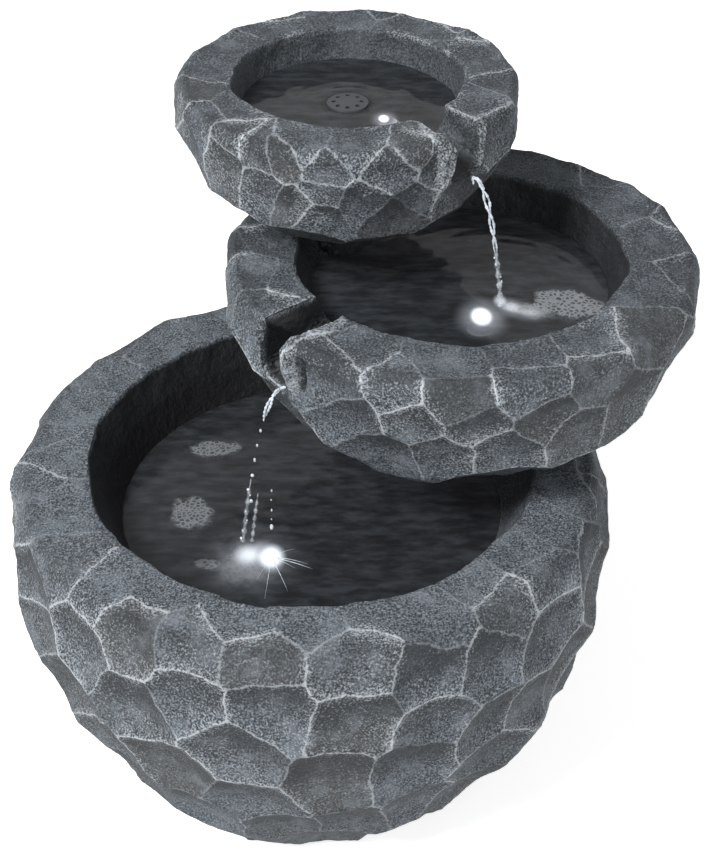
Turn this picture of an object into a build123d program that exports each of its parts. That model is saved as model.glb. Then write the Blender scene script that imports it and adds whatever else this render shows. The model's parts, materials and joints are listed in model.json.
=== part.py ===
"""Cascading garden fountain: three hollow resin bowls, a small pump and three basin lamps.

Millimetres, +Z up. The fountain stands on z = 0 with the lower bowl on the Z axis. The
two spouts pour towards -Y, the side that the cascade is seen from.
"""

import math
import os
from dataclasses import dataclass

from build123d import *

# Skins of the castings, and the fits between pieces
WALL = 8.0
FIT = 0.3
THREAD_GAP = 0.1
RUNNING_GAP = 0.05
OVERCUT = 6.0
RIM_ROUND = 9.0

# Lower bowl; heights are measured up from the underside of the casting
FOOT_STAND = 3.0
LOWER_HEIGHT = 238.0
LOWER_BASE_RADIUS = 137.0
LOWER_BELLY_RADIUS = 201.5
LOWER_BELLY_HEIGHT = 167.0
LOWER_RIM_RADIUS = 189.0
LOWER_MOUTH_RADIUS = 150.0
LOWER_FLOOR_RADIUS = 80.0
LOWER_BASIN_DEPTH = 169.0
LOWER_FLOOR_FILLET = 20.0
LOWER_LAMP = (-30.0, -2.0)

# Middle bowl, seated on the rim of the lower bowl
MIDDLE_SEAT_RISE = 4.0
MIDDLE_PLACE = (98.5, 53.5)
MIDDLE_HEIGHT = 120.0
MIDDLE_BASE_RADIUS = 64.0
MIDDLE_BELLY_RADIUS = 152.0
MIDDLE_BELLY_HEIGHT = 100.0
MIDDLE_RIM_RADIUS = 149.0
MIDDLE_MOUTH_RADIUS = 108.5
MIDDLE_FLOOR_RADIUS = 86.0
MIDDLE_BASIN_DEPTH = 55.0
MIDDLE_FLOOR_FILLET = 15.0
MIDDLE_LAMP = (13.5, -22.5)
MIDDLE_SPOUT_BEARING = 218.0
MIDDLE_SPOUT_WIDTH = 28.0
MIDDLE_SPOUT_DROP = 28.0

# Upper bowl, seated on the rim of the middle bowl and a hollow boss beside it
UPPER_SEAT_RISE = 3.0
UPPER_BOSS_RADIUS = 30.0
UPPER_BOSS_REACH = 106.0
UPPER_PLACE = (25.0, 108.0)
UPPER_HEIGHT = 94.0
UPPER_BASE_RADIUS = 42.0
UPPER_BELLY_RADIUS = 108.5
UPPER_BELLY_HEIGHT = 74.0
UPPER_RIM_RADIUS = 107.5
UPPER_MOUTH_RADIUS = 74.7
UPPER_FLOOR_RADIUS = 67.0
UPPER_BASIN_DEPTH = 34.0
UPPER_FLOOR_FILLET = 8.0
UPPER_LAMP = (27.0, -18.8)
UPPER_SPOUT_BEARING = -48.0
UPPER_SPOUT_WIDTH = 30.0
UPPER_SPOUT_DROP = 21.0

# Chisel flats on the flank of the lower bowl, set out by bearing and by length of skin
# down from the rim; rows of them fill in the rest
CHISEL_DEPTH = 2.0
CHISEL_PITCH = 56.0
CHISEL_ROW = 48.0
CHISEL_FIRST = 25.0
CHISEL_ROOM = 41.44
CHISEL_STRAY = 11.2
CHISEL_SWING = 0.22
LOWER_CHISEL = [
    (193, 0), (217, 0), (250, 3), (262, 3), (279, 3), (310, 2), (321, 6), (358, 4), (237, 11), (349, 18), (293, 26),
    (337, 26), (304, 32), (226, 36), (264, 36), (250, 37), (210, 39), (319, 40), (338, 47), (193, 48), (279, 49),
    (212, 53), (293, 62), (239, 63), (258, 77), (325, 90), (305, 90), (221, 94), (314, 95), (275, 98), (289, 100),
    (245, 113), (228, 128), (306, 132), (259, 134), (293, 159), (232, 165), (278, 171), (246, 172), (303, 174),
    (266, 176),
]

# Both spout channels
SPOUT_FALL = 18.0
SPOUT_ROUND = 9.0

# Pump bay in the wall of the lower bowl, and the hollow boss above it
PUMP_BEARING = 42.0
PUMP_REACH = 140.0
LOWER_BOSS_RADIUS = 38.0
BAY_BACK = 24.0
BAY_FRONT = 31.0
BAY_HALF_WIDTH = 40.0
BAY_HEIGHT = 78.0
BAY_LEDGE = 3.0

# Threaded tubes that clamp one bowl on the next
TUBE_BORE = 12.0
TUBE_WALL = 3.0
TUBE_FLANGE = 21.0
TUBE_FLANGE_THICKNESS = 4.0
TUBE_TAIL = 2.0
LOCK_NUT_RADIUS = 20.0
LOCK_NUT_HEIGHT = 9.0

# Base plate, its screws and the feet
PLATE_THICKNESS = 6.0
POST_RADIUS = 9.0
POST_REACH = 105.0
POST_BEARING = 100.0
POST_COUNT = 3
SCREW_RADIUS = 2.2
SCREW_LENGTH = 20.0
SCREW_HEAD_RADIUS = 4.4
SCREW_HEAD_HEIGHT = 2.6
FOOT_RADIUS = 13.0
FOOT_STEM_RADIUS = 5.0
FOOT_STEM_LENGTH = 4.0
FOOT_REACH = 100.0
FOOT_BEARING = 55.0
FOOT_COUNT = 4

# Pump
CUP_HEIGHT = 6.0
CUP_RADIUS = 7.0
CUP_LIP = 1.0
PUMP_WIDTH = 44.0
PUMP_HEIGHT = 42.0
PUMP_ROUND = 3.0
MOTOR_LENGTH = 26.0
CHAMBER_LENGTH = 16.0
CHAMBER_RADIUS = 15.0
CHAMBER_FRONT = 4.0
EYE_RADIUS = 9.0
COLLAR_WALL = 2.0
COLLAR_LENGTH = 4.0
HUB_RADIUS = 4.5
ARM_WIDTH = 2.0
ARM_COUNT = 3
ROTOR_RADIUS = 8.5
ROTOR_GAP = 0.5
ROTOR_LENGTH = 20.0
BLADE_RADIUS = 13.0
BLADE_COUNT = 6
BLADE_THICKNESS = 1.6
BLADE_LENGTH = 8.0
SHROUD_THICKNESS = 1.5
SHAFT_RADIUS = 1.5
BUSH_RADIUS = 3.4
BUSH_LENGTH = 3.0
BUSH_GAP = 0.6
DIAL_RIM = 5.0
DIAL_FACE = 1.6
DIAL_PORT_RADIUS = 3.2
DIAL_PORT_REACH = 6.6
DIAL_LEVER = 6.0
NOZZLE_WALL = 1.9
NOZZLE_LENGTH = 14.0

# Cover of the pump bay
COVER_THICKNESS = 3.0
COVER_SLOT_WIDTH = 4.0
COVER_SLOT_PITCH = 8.0
COVER_SLOT_COUNT = 9
COVER_SLOT_HEIGHT = 50.0
KNOB_RADIUS = 6.0
KNOB_LENGTH = 11.0
COVER_PULL = 60.0

# Riser hose and the outlet in the upper basin
HOSE_RADIUS = 7.0
HOSE_BORE = 5.0
HOSE_GAP = 0.1
HOSE_BEND = 26.0
HOSE_EASE = 40.0
HOSE_SWAY = 15.0
HOSE_SWAY_RISE = 15.0
HOSE_RUN_HEIGHT = 27.0
OUTLET_STEM_RADIUS = 10.0
OUTLET_BORE = 3.2
OUTLET_FLANGE_RADIUS = 18.0
OUTLET_FLANGE_THICKNESS = 3.0
OUTLET_SEAL_THICKNESS = 2.0
OUTLET_NUT_RADIUS = 16.0
OUTLET_NUT_HEIGHT = 8.0
BARB_LENGTH = 10.0
DIFFUSER_RADIUS = 21.0
DIFFUSER_SKIRT = 2.5
DIFFUSER_CROWN = 13.5
DIFFUSER_BRIM = 2.0
DIFFUSER_HEIGHT = 11.4
DIFFUSER_SHELL = 1.6
DIFFUSER_HOLE_RADIUS = 1.5
DIFFUSER_HOLE_REACH = 9.0
DIFFUSER_HOLE_COUNT = 8

# Basin lamps, all three alike
LAMP_RADIUS = 11.0
LAMP_HEIGHT = 6.0
LAMP_STEM_RADIUS = 6.0
LAMP_STEM_TAIL = 3.0
LAMP_SEAL_THICKNESS = 1.5
LAMP_NUT_RADIUS = 10.0
LAMP_NUT_HEIGHT = 5.0
LENS_RADIUS = 8.5
LENS_SEAT = 3.0
LENS_DOME = 3.5
BOARD_RADIUS = 6.0
BOARD_THICKNESS = 1.2
BOARD_POCKET = 1.6
LAMP_ROUND = 1.5

# Leads inside the castings
LEAD_RADIUS = 1.5
LEAD_BEND = 7.0
LEAD_BORE_GAP = 0.1
CABLE_RADIUS = 2.5
CABLE_GRIP = 6.0
SPLITTER_BEARING = 20.0
SPLITTER_GAP = 0.5
SPLITTER_LENGTH = 24.0
SPLITTER_WIDTH = 36.0
SPLITTER_HEIGHT = 18.0
SPLITTER_ROUND = 3.0
LEAD_PITCH = 6.0
GROMMET_REACH = 162.0
GROMMET_RADIUS = 6.5
GROMMET_FLANGE = 8.5
GROMMET_FLANGE_THICKNESS = 2.5
GLAND_PLACE = (2.0, -31.0)
GLAND_RADIUS = 5.0
GLAND_FLANGE = 7.5
GLAND_FLANGE_THICKNESS = 3.0
GLAND_TAIL = 6.0

# Power inlet at the back of the lower bowl
INLET_BEARING = 90.0
INLET_HEIGHT = 32.0
INLET_FLANGE = 13.0
INLET_FLANGE_THICKNESS = 4.0
INLET_BARREL = 8.0
INLET_TAIL = 20.0
INLET_NOSE_RADIUS = 9.0
INLET_NOSE = 6.0
INLET_SOCKET = 5.5
INLET_SOCKET_DEPTH = 9.0
INLET_PIN_RADIUS = 0.8
INLET_PIN_PITCH = 4.0
INLET_NUT_RADIUS = 12.0
INLET_NUT_HEIGHT = 5.0
INLET_RECESS_GAP = 1.5


@dataclass
class Bowl:
    """Sizes of one bowl; heights are measured up from its underside."""

    place: tuple
    base_z: float
    height: float
    base_radius: float
    belly_radius: float
    belly_height: float
    rim_radius: float
    mouth_radius: float
    floor_radius: float
    basin_depth: float
    floor_fillet: float

    def __post_init__(self):
        self.floor_height = self.height - self.basin_depth
        self.floor_z = self.base_z + self.floor_height
        self.rim_z = self.base_z + self.height
        self.lean = (self.mouth_radius - self.floor_radius) / self.basin_depth
        self.axis = Axis((*self.place, 0), (0, 0, 1))
        self.section = Plane(origin=(*self.place, self.base_z), x_dir=(1, 0, 0), z_dir=(0, -1, 0))

    def flank_radius(self, height, inset=0.0):
        """Radius of the outer flank, or of a line inside it, at a height below the belly."""
        run = self.belly_radius - self.base_radius
        swing = (run**2 + self.belly_height**2) / (2 * run)
        return self.belly_radius - swing + math.sqrt((swing - inset) ** 2 - (self.belly_height - height) ** 2)

    def flank_at(self, down):
        """Radius, height and slope of the flank at a length of skin down from the rim."""
        run = self.belly_radius - self.rim_radius
        rise = self.height - self.belly_height
        swing = (run**2 + rise**2) / (2 * run)
        above = swing * math.asin(rise / swing)
        if down > above:
            run = self.belly_radius - self.base_radius
            swing = (run**2 + self.belly_height**2) / (2 * run)
        slope = (above - down) / swing
        radius = self.belly_radius - swing * (1 - math.cos(slope))
        return radius, self.belly_height + swing * math.sin(slope), slope

    def flank_length(self, height):
        """Length of skin from the rim down to a height below the belly."""
        run = self.belly_radius - self.rim_radius
        rise = self.height - self.belly_height
        above = (run**2 + rise**2) / (2 * run)
        run = self.belly_radius - self.base_radius
        below = (run**2 + self.belly_height**2) / (2 * run)
        return above * math.asin(rise / above) + below * math.asin((self.belly_height - height) / below)

    def skin_point(self, bearing, down):
        """Point on the flank at a bearing and a length of skin down from the rim."""
        radius, height, _ = self.flank_at(down)
        return (*polar(radius, bearing, self.place), self.base_z + height)

    def basin_radius(self, height):
        """Radius of the basin's wall at a height."""
        return self.floor_radius + self.lean * (height - self.floor_height)


def polar(radius, bearing, origin=(0.0, 0.0)):
    """Point in plan at a radius and a bearing in degrees from +X."""
    turn = math.radians(bearing)
    return (origin[0] + radius * math.cos(turn), origin[1] + radius * math.sin(turn))


def offset(place, step):
    """Point in plan moved by a step."""
    return (place[0] + step[0], place[1] + step[1])


def bearing_of(start, end):
    """Bearing in degrees of one point in plan from another."""
    return math.degrees(math.atan2(end[1] - start[1], end[0] - start[0]))


def outer_form(bowl):
    """Turned outside of a bowl, still solid."""
    base = (bowl.base_radius, 0)
    belly = (bowl.belly_radius, bowl.belly_height)
    rim = (bowl.rim_radius, bowl.height)
    with BuildPart() as form:
        with BuildSketch(bowl.section):
            with BuildLine():
                TangentArc(belly, base, tangent=(0, -1))
                TangentArc(belly, rim, tangent=(0, 1))
                Polyline(rim, (0, bowl.height), (0, 0), base)
            make_face()
        revolve(axis=bowl.axis)
        fillet(form.edges().filter_by(GeomType.CIRCLE).group_by(Axis.Z)[-1], RIM_ROUND)
    return form.part


def chisel_marks(bowl, marks):
    """The set-out chisel marks, and rows of more wherever those leave room."""
    marks = list(marks)
    rows = int((bowl.flank_length(0) - CHISEL_FIRST - CHISEL_DEPTH) / CHISEL_ROW)
    for row in range(1, rows + 2):
        level = CHISEL_FIRST + (row - 1) * CHISEL_ROW
        count = round(2 * math.pi * bowl.flank_at(level)[0] / CHISEL_PITCH)
        for k in range(count):
            swing = CHISEL_SWING * math.sin(12.9898 * k + 78.233 * row)
            bearing = 360 / count * (k + row % 2 / 2 + swing)
            down = level + CHISEL_STRAY * math.sin(4.1414 * k + 2.236 * row + 1)
            place = bowl.skin_point(bearing, down)
            if min(math.dist(place, bowl.skin_point(*mark)) for mark in marks) > CHISEL_ROOM:
                marks.append((bearing, down))
    return marks


def chiselled_form(bowl, marks):
    """Outside of a bowl whose flank is cut to flats, still solid."""
    with BuildPart() as form:
        with Locations((*bowl.place, bowl.base_z)):
            Cylinder(bowl.belly_radius + 2 * OVERCUT, bowl.height, align=UPRIGHT)
        for bearing, down in marks:
            slope = bowl.flank_at(down)[2]
            out = (*polar(math.cos(slope), bearing), math.sin(slope))
            skin = bowl.skin_point(bearing, down)
            flat = Plane(origin=[s - CHISEL_DEPTH * o for s, o in zip(skin, out)], z_dir=out)
            split(bisect_by=flat, keep=Keep.BOTTOM)
    return form.part


def basin_form(bowl):
    """Space of a bowl's basin, carried on above the rim."""
    low = bowl.floor_height
    high = bowl.height + OVERCUT
    with BuildPart() as form:
        with BuildSketch(bowl.section):
            with BuildLine():
                Polyline((0, low), (bowl.floor_radius, low), (bowl.basin_radius(high), high), (0, high), close=True)
            make_face()
        revolve(axis=bowl.axis)
        fillet(form.edges().filter_by(GeomType.CIRCLE).group_by(Axis.Z)[0], bowl.floor_fillet)
    return form.part


def hollow_form(bowl, low):
    """Space between the outer skin and the basin's skin, down to a height."""
    high = bowl.height - WALL
    under = bowl.floor_height - WALL
    skin = WALL * math.hypot(1, bowl.lean)
    base = (bowl.flank_radius(low, WALL), low)
    belly = (bowl.belly_radius - WALL, bowl.belly_height)
    rim = (bowl.rim_radius - WALL, high)
    mouth = (bowl.basin_radius(high) + skin, high)
    floor = (bowl.basin_radius(under) + skin, under)
    with BuildPart() as form:
        with BuildSketch(bowl.section):
            with BuildLine():
                TangentArc(belly, base, tangent=(0, -1))
                TangentArc(belly, rim, tangent=(0, 1))
                Polyline(rim, mouth, floor, (0, under), (0, low), base)
            make_face()
        revolve(axis=bowl.axis)
    return form.part


def spout_form(bowl, bearing, width, drop, skin):
    """Channel through a rim, or the channel with a skin round it."""
    turn = math.radians(bearing)
    fall = math.radians(SPOUT_FALL)
    start = bowl.mouth_radius - bowl.lean * drop - 2 * OVERCUT - skin
    reach = bowl.belly_radius + 2 * OVERCUT - start
    sill = bowl.rim_z - drop + (bowl.mouth_radius - start) * math.tan(fall)
    origin = (*polar(start, bearing, bowl.place), sill)
    across = (-math.sin(turn), math.cos(turn), 0)
    along = (math.cos(turn) * math.cos(fall), math.sin(turn) * math.cos(fall), -math.sin(fall))
    with BuildPart() as form:
        with BuildSketch(Plane(origin=origin, x_dir=across, z_dir=along)) as channel:
            with Locations((0, -skin)):
                Rectangle(width + 2 * skin, 3 * drop, align=(Align.CENTER, Align.MIN))
            fillet(channel.vertices().group_by(Axis.Y)[0], SPOUT_ROUND)
        extrude(amount=reach)
    return form.part


def pad_form(bowl, guest):
    """Crescent pad on a bowl's rim for the bowl seated above it."""
    rise = guest.base_z - bowl.rim_z
    with BuildPart() as form:
        with Locations((*guest.place, guest.base_z)):
            Cylinder(guest.base_radius - rise / 2, rise + WALL, align=(Align.CENTER, Align.CENTER, Align.MAX))
        with Locations((*bowl.place, guest.base_z)):
            Cylinder(bowl.mouth_radius, 2 * (rise + WALL), mode=Mode.SUBTRACT)
    return form.part


def hose_route(points, radii, radius, bore):
    """Tube along straight runs and round bends; a bore of 0 makes it solid."""
    with BuildPart() as tube:
        with BuildLine() as route:
            FilletPolyline(*points, radius=radii)
        with BuildSketch(Plane(origin=route.wire() @ 0, z_dir=route.wire() % 0)):
            Circle(radius)
            if bore:
                Circle(bore, mode=Mode.SUBTRACT)
        sweep()
    return tube.part


# Where everything stands
LOWER = Bowl((0.0, 0.0), FOOT_STAND, LOWER_HEIGHT, LOWER_BASE_RADIUS, LOWER_BELLY_RADIUS, LOWER_BELLY_HEIGHT,
             LOWER_RIM_RADIUS, LOWER_MOUTH_RADIUS, LOWER_FLOOR_RADIUS, LOWER_BASIN_DEPTH, LOWER_FLOOR_FILLET)
MIDDLE_SEAT = LOWER.rim_z + MIDDLE_SEAT_RISE
MIDDLE = Bowl(MIDDLE_PLACE, MIDDLE_SEAT, MIDDLE_HEIGHT, MIDDLE_BASE_RADIUS, MIDDLE_BELLY_RADIUS,
              MIDDLE_BELLY_HEIGHT, MIDDLE_RIM_RADIUS, MIDDLE_MOUTH_RADIUS, MIDDLE_FLOOR_RADIUS,
              MIDDLE_BASIN_DEPTH, MIDDLE_FLOOR_FILLET)
UPPER_SEAT = MIDDLE.rim_z + UPPER_SEAT_RISE
UPPER = Bowl(UPPER_PLACE, UPPER_SEAT, UPPER_HEIGHT, UPPER_BASE_RADIUS, UPPER_BELLY_RADIUS, UPPER_BELLY_HEIGHT,
             UPPER_RIM_RADIUS, UPPER_MOUTH_RADIUS, UPPER_FLOOR_RADIUS, UPPER_BASIN_DEPTH, UPPER_FLOOR_FILLET)
BOSS_PLACE = polar(PUMP_REACH, PUMP_BEARING)
UPPER_BEARING = bearing_of(MIDDLE.place, UPPER.place)
NECK_PLACE = polar(UPPER_BOSS_REACH, UPPER_BEARING, MIDDLE.place)
BAY_OUT = (math.cos(math.radians(PUMP_BEARING)), math.sin(math.radians(PUMP_BEARING)), 0)
BAY_FRAME = Plane(origin=(*BOSS_PLACE, LOWER.floor_z), x_dir=BAY_OUT, z_dir=(0, 0, 1))
PLATE_TOP = FOOT_STAND + PLATE_THICKNESS
TUBE_RADIUS = TUBE_BORE + TUBE_WALL
FOOT_RING = [polar(FOOT_REACH, FOOT_BEARING + i * 360 / FOOT_COUNT) for i in range(FOOT_COUNT)]
FOOT_PLACES = [LOWER.place, *FOOT_RING]
INLET_FACE = LOWER.flank_radius(INLET_HEIGHT - INLET_FLANGE) - INLET_RECESS_GAP
INLET_RECESS = INLET_FLANGE + INLET_RECESS_GAP
INLET_FRAME = Plane(
    origin=(*polar(INLET_FACE, INLET_BEARING), LOWER.base_z + INLET_HEIGHT),
    x_dir=(0, 0, 1),
    z_dir=(*polar(1, INLET_BEARING), 0),
)
SPLITTER_ROOM = LOWER.flank_radius(PLATE_THICKNESS, WALL) - SPLITTER_GAP
SPLITTER_REACH = math.sqrt(SPLITTER_ROOM**2 - (SPLITTER_WIDTH / 2) ** 2) - SPLITTER_LENGTH / 2
SPLITTER_FRAME = Plane(
    origin=(*polar(SPLITTER_REACH, SPLITTER_BEARING), PLATE_TOP),
    x_dir=(*polar(1, SPLITTER_BEARING), 0),
    z_dir=(0, 0, 1),
)
GROMMET_PLACE = polar(GROMMET_REACH, SPLITTER_BEARING)
GROMMET_FRAME = Plane(
    origin=(*GROMMET_PLACE, MIDDLE_SEAT + WALL),
    x_dir=(*polar(1, SPLITTER_BEARING), 0),
    z_dir=(0, 0, 1),
)
LAMPS = {
    "lower": (*offset(LOWER.place, LOWER_LAMP), LOWER.floor_z),
    "middle": (*offset(MIDDLE.place, MIDDLE_LAMP), MIDDLE.floor_z),
    "upper": (*offset(UPPER.place, UPPER_LAMP), UPPER.floor_z),
}
LAMP_HOLE = LAMP_STEM_RADIUS + FIT
GROMMET_HOLE = GROMMET_RADIUS + FIT
UPRIGHT = (Align.CENTER, Align.CENTER, Align.MIN)
HANGING = (Align.CENTER, Align.CENTER, Align.MAX)
pieces = {}

# Pump bay: the pump's room, a wider step for its cover and the well under the boss
with BuildPart(BAY_FRAME) as bay_room:
    with Locations(((BAY_BACK - BAY_FRONT) / 2, 0, 0)):
        Box(BAY_BACK + BAY_FRONT, 2 * BAY_HALF_WIDTH, BAY_HEIGHT, align=UPRIGHT)
    with Locations((-BAY_FRONT, 0, 0)):
        Box(
            COVER_PULL,
            2 * (BAY_HALF_WIDTH + BAY_LEDGE),
            BAY_HEIGHT,
            align=(Align.MAX, Align.CENTER, Align.MIN),
        )
    with Locations((0, 0, BAY_HEIGHT)):
        Cylinder(LOWER_BOSS_RADIUS - WALL, MIDDLE_SEAT - WALL - LOWER.floor_z - BAY_HEIGHT, align=UPRIGHT)

# The same room with the skin of the casting round it
with BuildPart(BAY_FRAME) as bay_block:
    with Locations((BAY_BACK + WALL, 0, -WALL)):
        Box(
            PUMP_REACH + BAY_BACK + WALL,
            2 * (BAY_HALF_WIDTH + BAY_LEDGE + WALL),
            BAY_HEIGHT + 2 * WALL,
            align=(Align.MAX, Align.CENTER, Align.MIN),
        )
    with Locations((0, 0, BAY_HEIGHT)):
        Cylinder(LOWER_BOSS_RADIUS, MIDDLE_SEAT - LOWER.floor_z - BAY_HEIGHT, align=UPRIGHT)

# Hollow of the lower casting, open below, with posts for the base plate's screws
lower_space = hollow_form(LOWER, 0)
with BuildPart() as lower_hollow:
    add(lower_space)
    add(bay_block.part, mode=Mode.SUBTRACT)
    with PolarLocations(POST_REACH, POST_COUNT, POST_BEARING):
        with Locations((0, 0, PLATE_TOP)):
            Cylinder(POST_RADIUS, LOWER_HEIGHT, align=UPRIGHT, mode=Mode.SUBTRACT)
    with Locations(INLET_FRAME.offset(-WALL)):
        Cylinder(INLET_RECESS + WALL, LOWER_BASE_RADIUS, align=UPRIGHT, mode=Mode.SUBTRACT)

inlet_mark = (INLET_BEARING, LOWER.flank_length(INLET_HEIGHT))
lower_marks = chisel_marks(LOWER, [*LOWER_CHISEL, inlet_mark])
lower_outside = chiselled_form(LOWER, lower_marks)
lower_basin = basin_form(LOWER)
lower_pad = pad_form(LOWER, MIDDLE)
with BuildPart() as lower_bowl:
    add(lower_outside)
    add(lower_basin, mode=Mode.SUBTRACT)
    with Locations((*BOSS_PLACE, MIDDLE_SEAT)):
        Cylinder(LOWER_BOSS_RADIUS, MIDDLE_SEAT - LOWER.floor_z - BAY_HEIGHT, align=HANGING)
    add(lower_pad)
    add(lower_hollow.part, mode=Mode.SUBTRACT)
    add(bay_room.part, mode=Mode.SUBTRACT)
    with Locations((*BOSS_PLACE, MIDDLE_SEAT)):
        Cylinder(TUBE_RADIUS + FIT, 3 * WALL, mode=Mode.SUBTRACT)
    with Locations(LAMPS["lower"]):
        Cylinder(LAMP_HOLE, 3 * WALL, mode=Mode.SUBTRACT)
    with Locations((*GROMMET_PLACE, LOWER.rim_z)):
        Cylinder(GROMMET_HOLE, 3 * WALL, mode=Mode.SUBTRACT)
    with Locations(BAY_FRAME):
        with Locations(GLAND_PLACE):
            Cylinder(GLAND_RADIUS + FIT, 3 * WALL, mode=Mode.SUBTRACT)
    with Locations(INLET_FRAME):
        Cylinder(INLET_RECESS, LOWER_BASE_RADIUS, align=UPRIGHT, mode=Mode.SUBTRACT)
        Cylinder(INLET_BARREL + FIT, 3 * WALL, mode=Mode.SUBTRACT)
    with PolarLocations(POST_REACH, POST_COUNT, POST_BEARING):
        with Locations((0, 0, PLATE_TOP)):
            Cylinder(SCREW_RADIUS + THREAD_GAP, SCREW_LENGTH, align=UPRIGHT, mode=Mode.SUBTRACT)
pieces["lower_bowl"] = lower_bowl.part

# Base plate, screws and feet
with BuildPart() as base_plate:
    with Locations((0, 0, FOOT_STAND)):
        Cylinder(LOWER.flank_radius(0, WALL) - FIT, PLATE_THICKNESS, align=UPRIGHT)
    with PolarLocations(POST_REACH, POST_COUNT, POST_BEARING):
        with Locations((0, 0, FOOT_STAND)):
            Cylinder(SCREW_RADIUS + FIT, PLATE_THICKNESS, align=UPRIGHT, mode=Mode.SUBTRACT)
            Cylinder(SCREW_HEAD_RADIUS + FIT, SCREW_HEAD_HEIGHT, align=UPRIGHT, mode=Mode.SUBTRACT)
    with Locations(*[(*place, FOOT_STAND) for place in FOOT_PLACES]):
        Cylinder(FOOT_STEM_RADIUS, FOOT_STEM_LENGTH, align=UPRIGHT, mode=Mode.SUBTRACT)
pieces["base_plate"] = base_plate.part

with BuildPart() as base_screws:
    with PolarLocations(POST_REACH, POST_COUNT, POST_BEARING):
        with Locations((0, 0, FOOT_STAND)):
            Cylinder(SCREW_HEAD_RADIUS, SCREW_HEAD_HEIGHT, align=UPRIGHT)
            Cylinder(SCREW_RADIUS, SCREW_LENGTH, align=UPRIGHT)
pieces["base_screws"] = base_screws.part

with BuildPart() as rubber_feet:
    with Locations(*FOOT_PLACES):
        Cylinder(FOOT_RADIUS, FOOT_STAND, align=UPRIGHT)
        Cylinder(FOOT_STEM_RADIUS - THREAD_GAP, FOOT_STAND + FOOT_STEM_LENGTH, align=UPRIGHT)
pieces["rubber_feet"] = rubber_feet.part

# Middle bowl: hollow casting with a spout and the hollow boss for the upper bowl
middle_spout = spout_form(MIDDLE, MIDDLE_SPOUT_BEARING, MIDDLE_SPOUT_WIDTH, MIDDLE_SPOUT_DROP, 0)
middle_spout_block = spout_form(MIDDLE, MIDDLE_SPOUT_BEARING, MIDDLE_SPOUT_WIDTH, MIDDLE_SPOUT_DROP, WALL)
middle_space = hollow_form(MIDDLE, WALL)
with BuildPart() as middle_hollow:
    add(middle_space)
    add(middle_spout_block, mode=Mode.SUBTRACT)
    with Locations((*NECK_PLACE, UPPER_SEAT - WALL)):
        Cylinder(UPPER_BOSS_RADIUS - WALL, UPPER_SEAT - MIDDLE.floor_z, align=HANGING)

middle_outside = outer_form(MIDDLE)
middle_basin = basin_form(MIDDLE)
middle_pad = pad_form(MIDDLE, UPPER)
with BuildPart() as middle_bowl:
    add(middle_outside)
    add(middle_basin, mode=Mode.SUBTRACT)
    with Locations((*NECK_PLACE, UPPER_SEAT)):
        Cylinder(UPPER_BOSS_RADIUS, UPPER_SEAT - MIDDLE.floor_z + WALL, align=HANGING)
    add(middle_pad)
    add(middle_hollow.part, mode=Mode.SUBTRACT)
    add(middle_spout, mode=Mode.SUBTRACT)
    with Locations((*BOSS_PLACE, MIDDLE_SEAT), (*NECK_PLACE, UPPER_SEAT)):
        Cylinder(TUBE_RADIUS + FIT, 3 * WALL, mode=Mode.SUBTRACT)
    with Locations(LAMPS["middle"]):
        Cylinder(LAMP_HOLE, 3 * WALL, mode=Mode.SUBTRACT)
    with Locations((*GROMMET_PLACE, MIDDLE_SEAT)):
        Cylinder(GROMMET_HOLE, 3 * WALL, mode=Mode.SUBTRACT)
pieces["middle_bowl"] = middle_bowl.part

# Upper bowl: hollow casting with a spout, a lamp and the water outlet
upper_spout = spout_form(UPPER, UPPER_SPOUT_BEARING, UPPER_SPOUT_WIDTH, UPPER_SPOUT_DROP, 0)
upper_spout_block = spout_form(UPPER, UPPER_SPOUT_BEARING, UPPER_SPOUT_WIDTH, UPPER_SPOUT_DROP, WALL)
upper_space = hollow_form(UPPER, WALL)
with BuildPart() as upper_hollow:
    add(upper_space)
    add(upper_spout_block, mode=Mode.SUBTRACT)

upper_outside = outer_form(UPPER)
upper_basin = basin_form(UPPER)
with BuildPart() as upper_bowl:
    add(upper_outside)
    add(upper_basin, mode=Mode.SUBTRACT)
    add(upper_hollow.part, mode=Mode.SUBTRACT)
    add(upper_spout, mode=Mode.SUBTRACT)
    with Locations((*NECK_PLACE, UPPER_SEAT)):
        Cylinder(TUBE_RADIUS + FIT, 3 * WALL, mode=Mode.SUBTRACT)
    with Locations((*UPPER.place, UPPER.floor_z)):
        Cylinder(OUTLET_STEM_RADIUS + FIT, 3 * WALL, mode=Mode.SUBTRACT)
    with Locations(LAMPS["upper"]):
        Cylinder(LAMP_HOLE, 3 * WALL, mode=Mode.SUBTRACT)
pieces["upper_bowl"] = upper_bowl.part

# Threaded tubes with their lock nuts, one at each seat
SEATS = {"lower": (*BOSS_PLACE, MIDDLE_SEAT), "upper": (*NECK_PLACE, UPPER_SEAT)}
for name, seat in SEATS.items():
    with BuildPart(Plane(seat)) as joining_tube:
        with Locations((0, 0, WALL)):
            Cylinder(TUBE_RADIUS, 2 * WALL + LOCK_NUT_HEIGHT + TUBE_TAIL, align=HANGING)
            Cylinder(TUBE_FLANGE, TUBE_FLANGE_THICKNESS, align=UPRIGHT)
        Cylinder(TUBE_BORE, 6 * (WALL + LOCK_NUT_HEIGHT), mode=Mode.SUBTRACT)
    pieces[f"{name}_joining_tube"] = joining_tube.part
    with BuildPart(Plane(seat)) as lock_nut:
        with BuildSketch(Plane((seat[0], seat[1], seat[2] - WALL - LOCK_NUT_HEIGHT))):
            RegularPolygon(LOCK_NUT_RADIUS, 6)
            Circle(TUBE_RADIUS + THREAD_GAP, mode=Mode.SUBTRACT)
        extrude(amount=LOCK_NUT_HEIGHT)
    pieces[f"{name}_lock_nut"] = lock_nut.part

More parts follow.
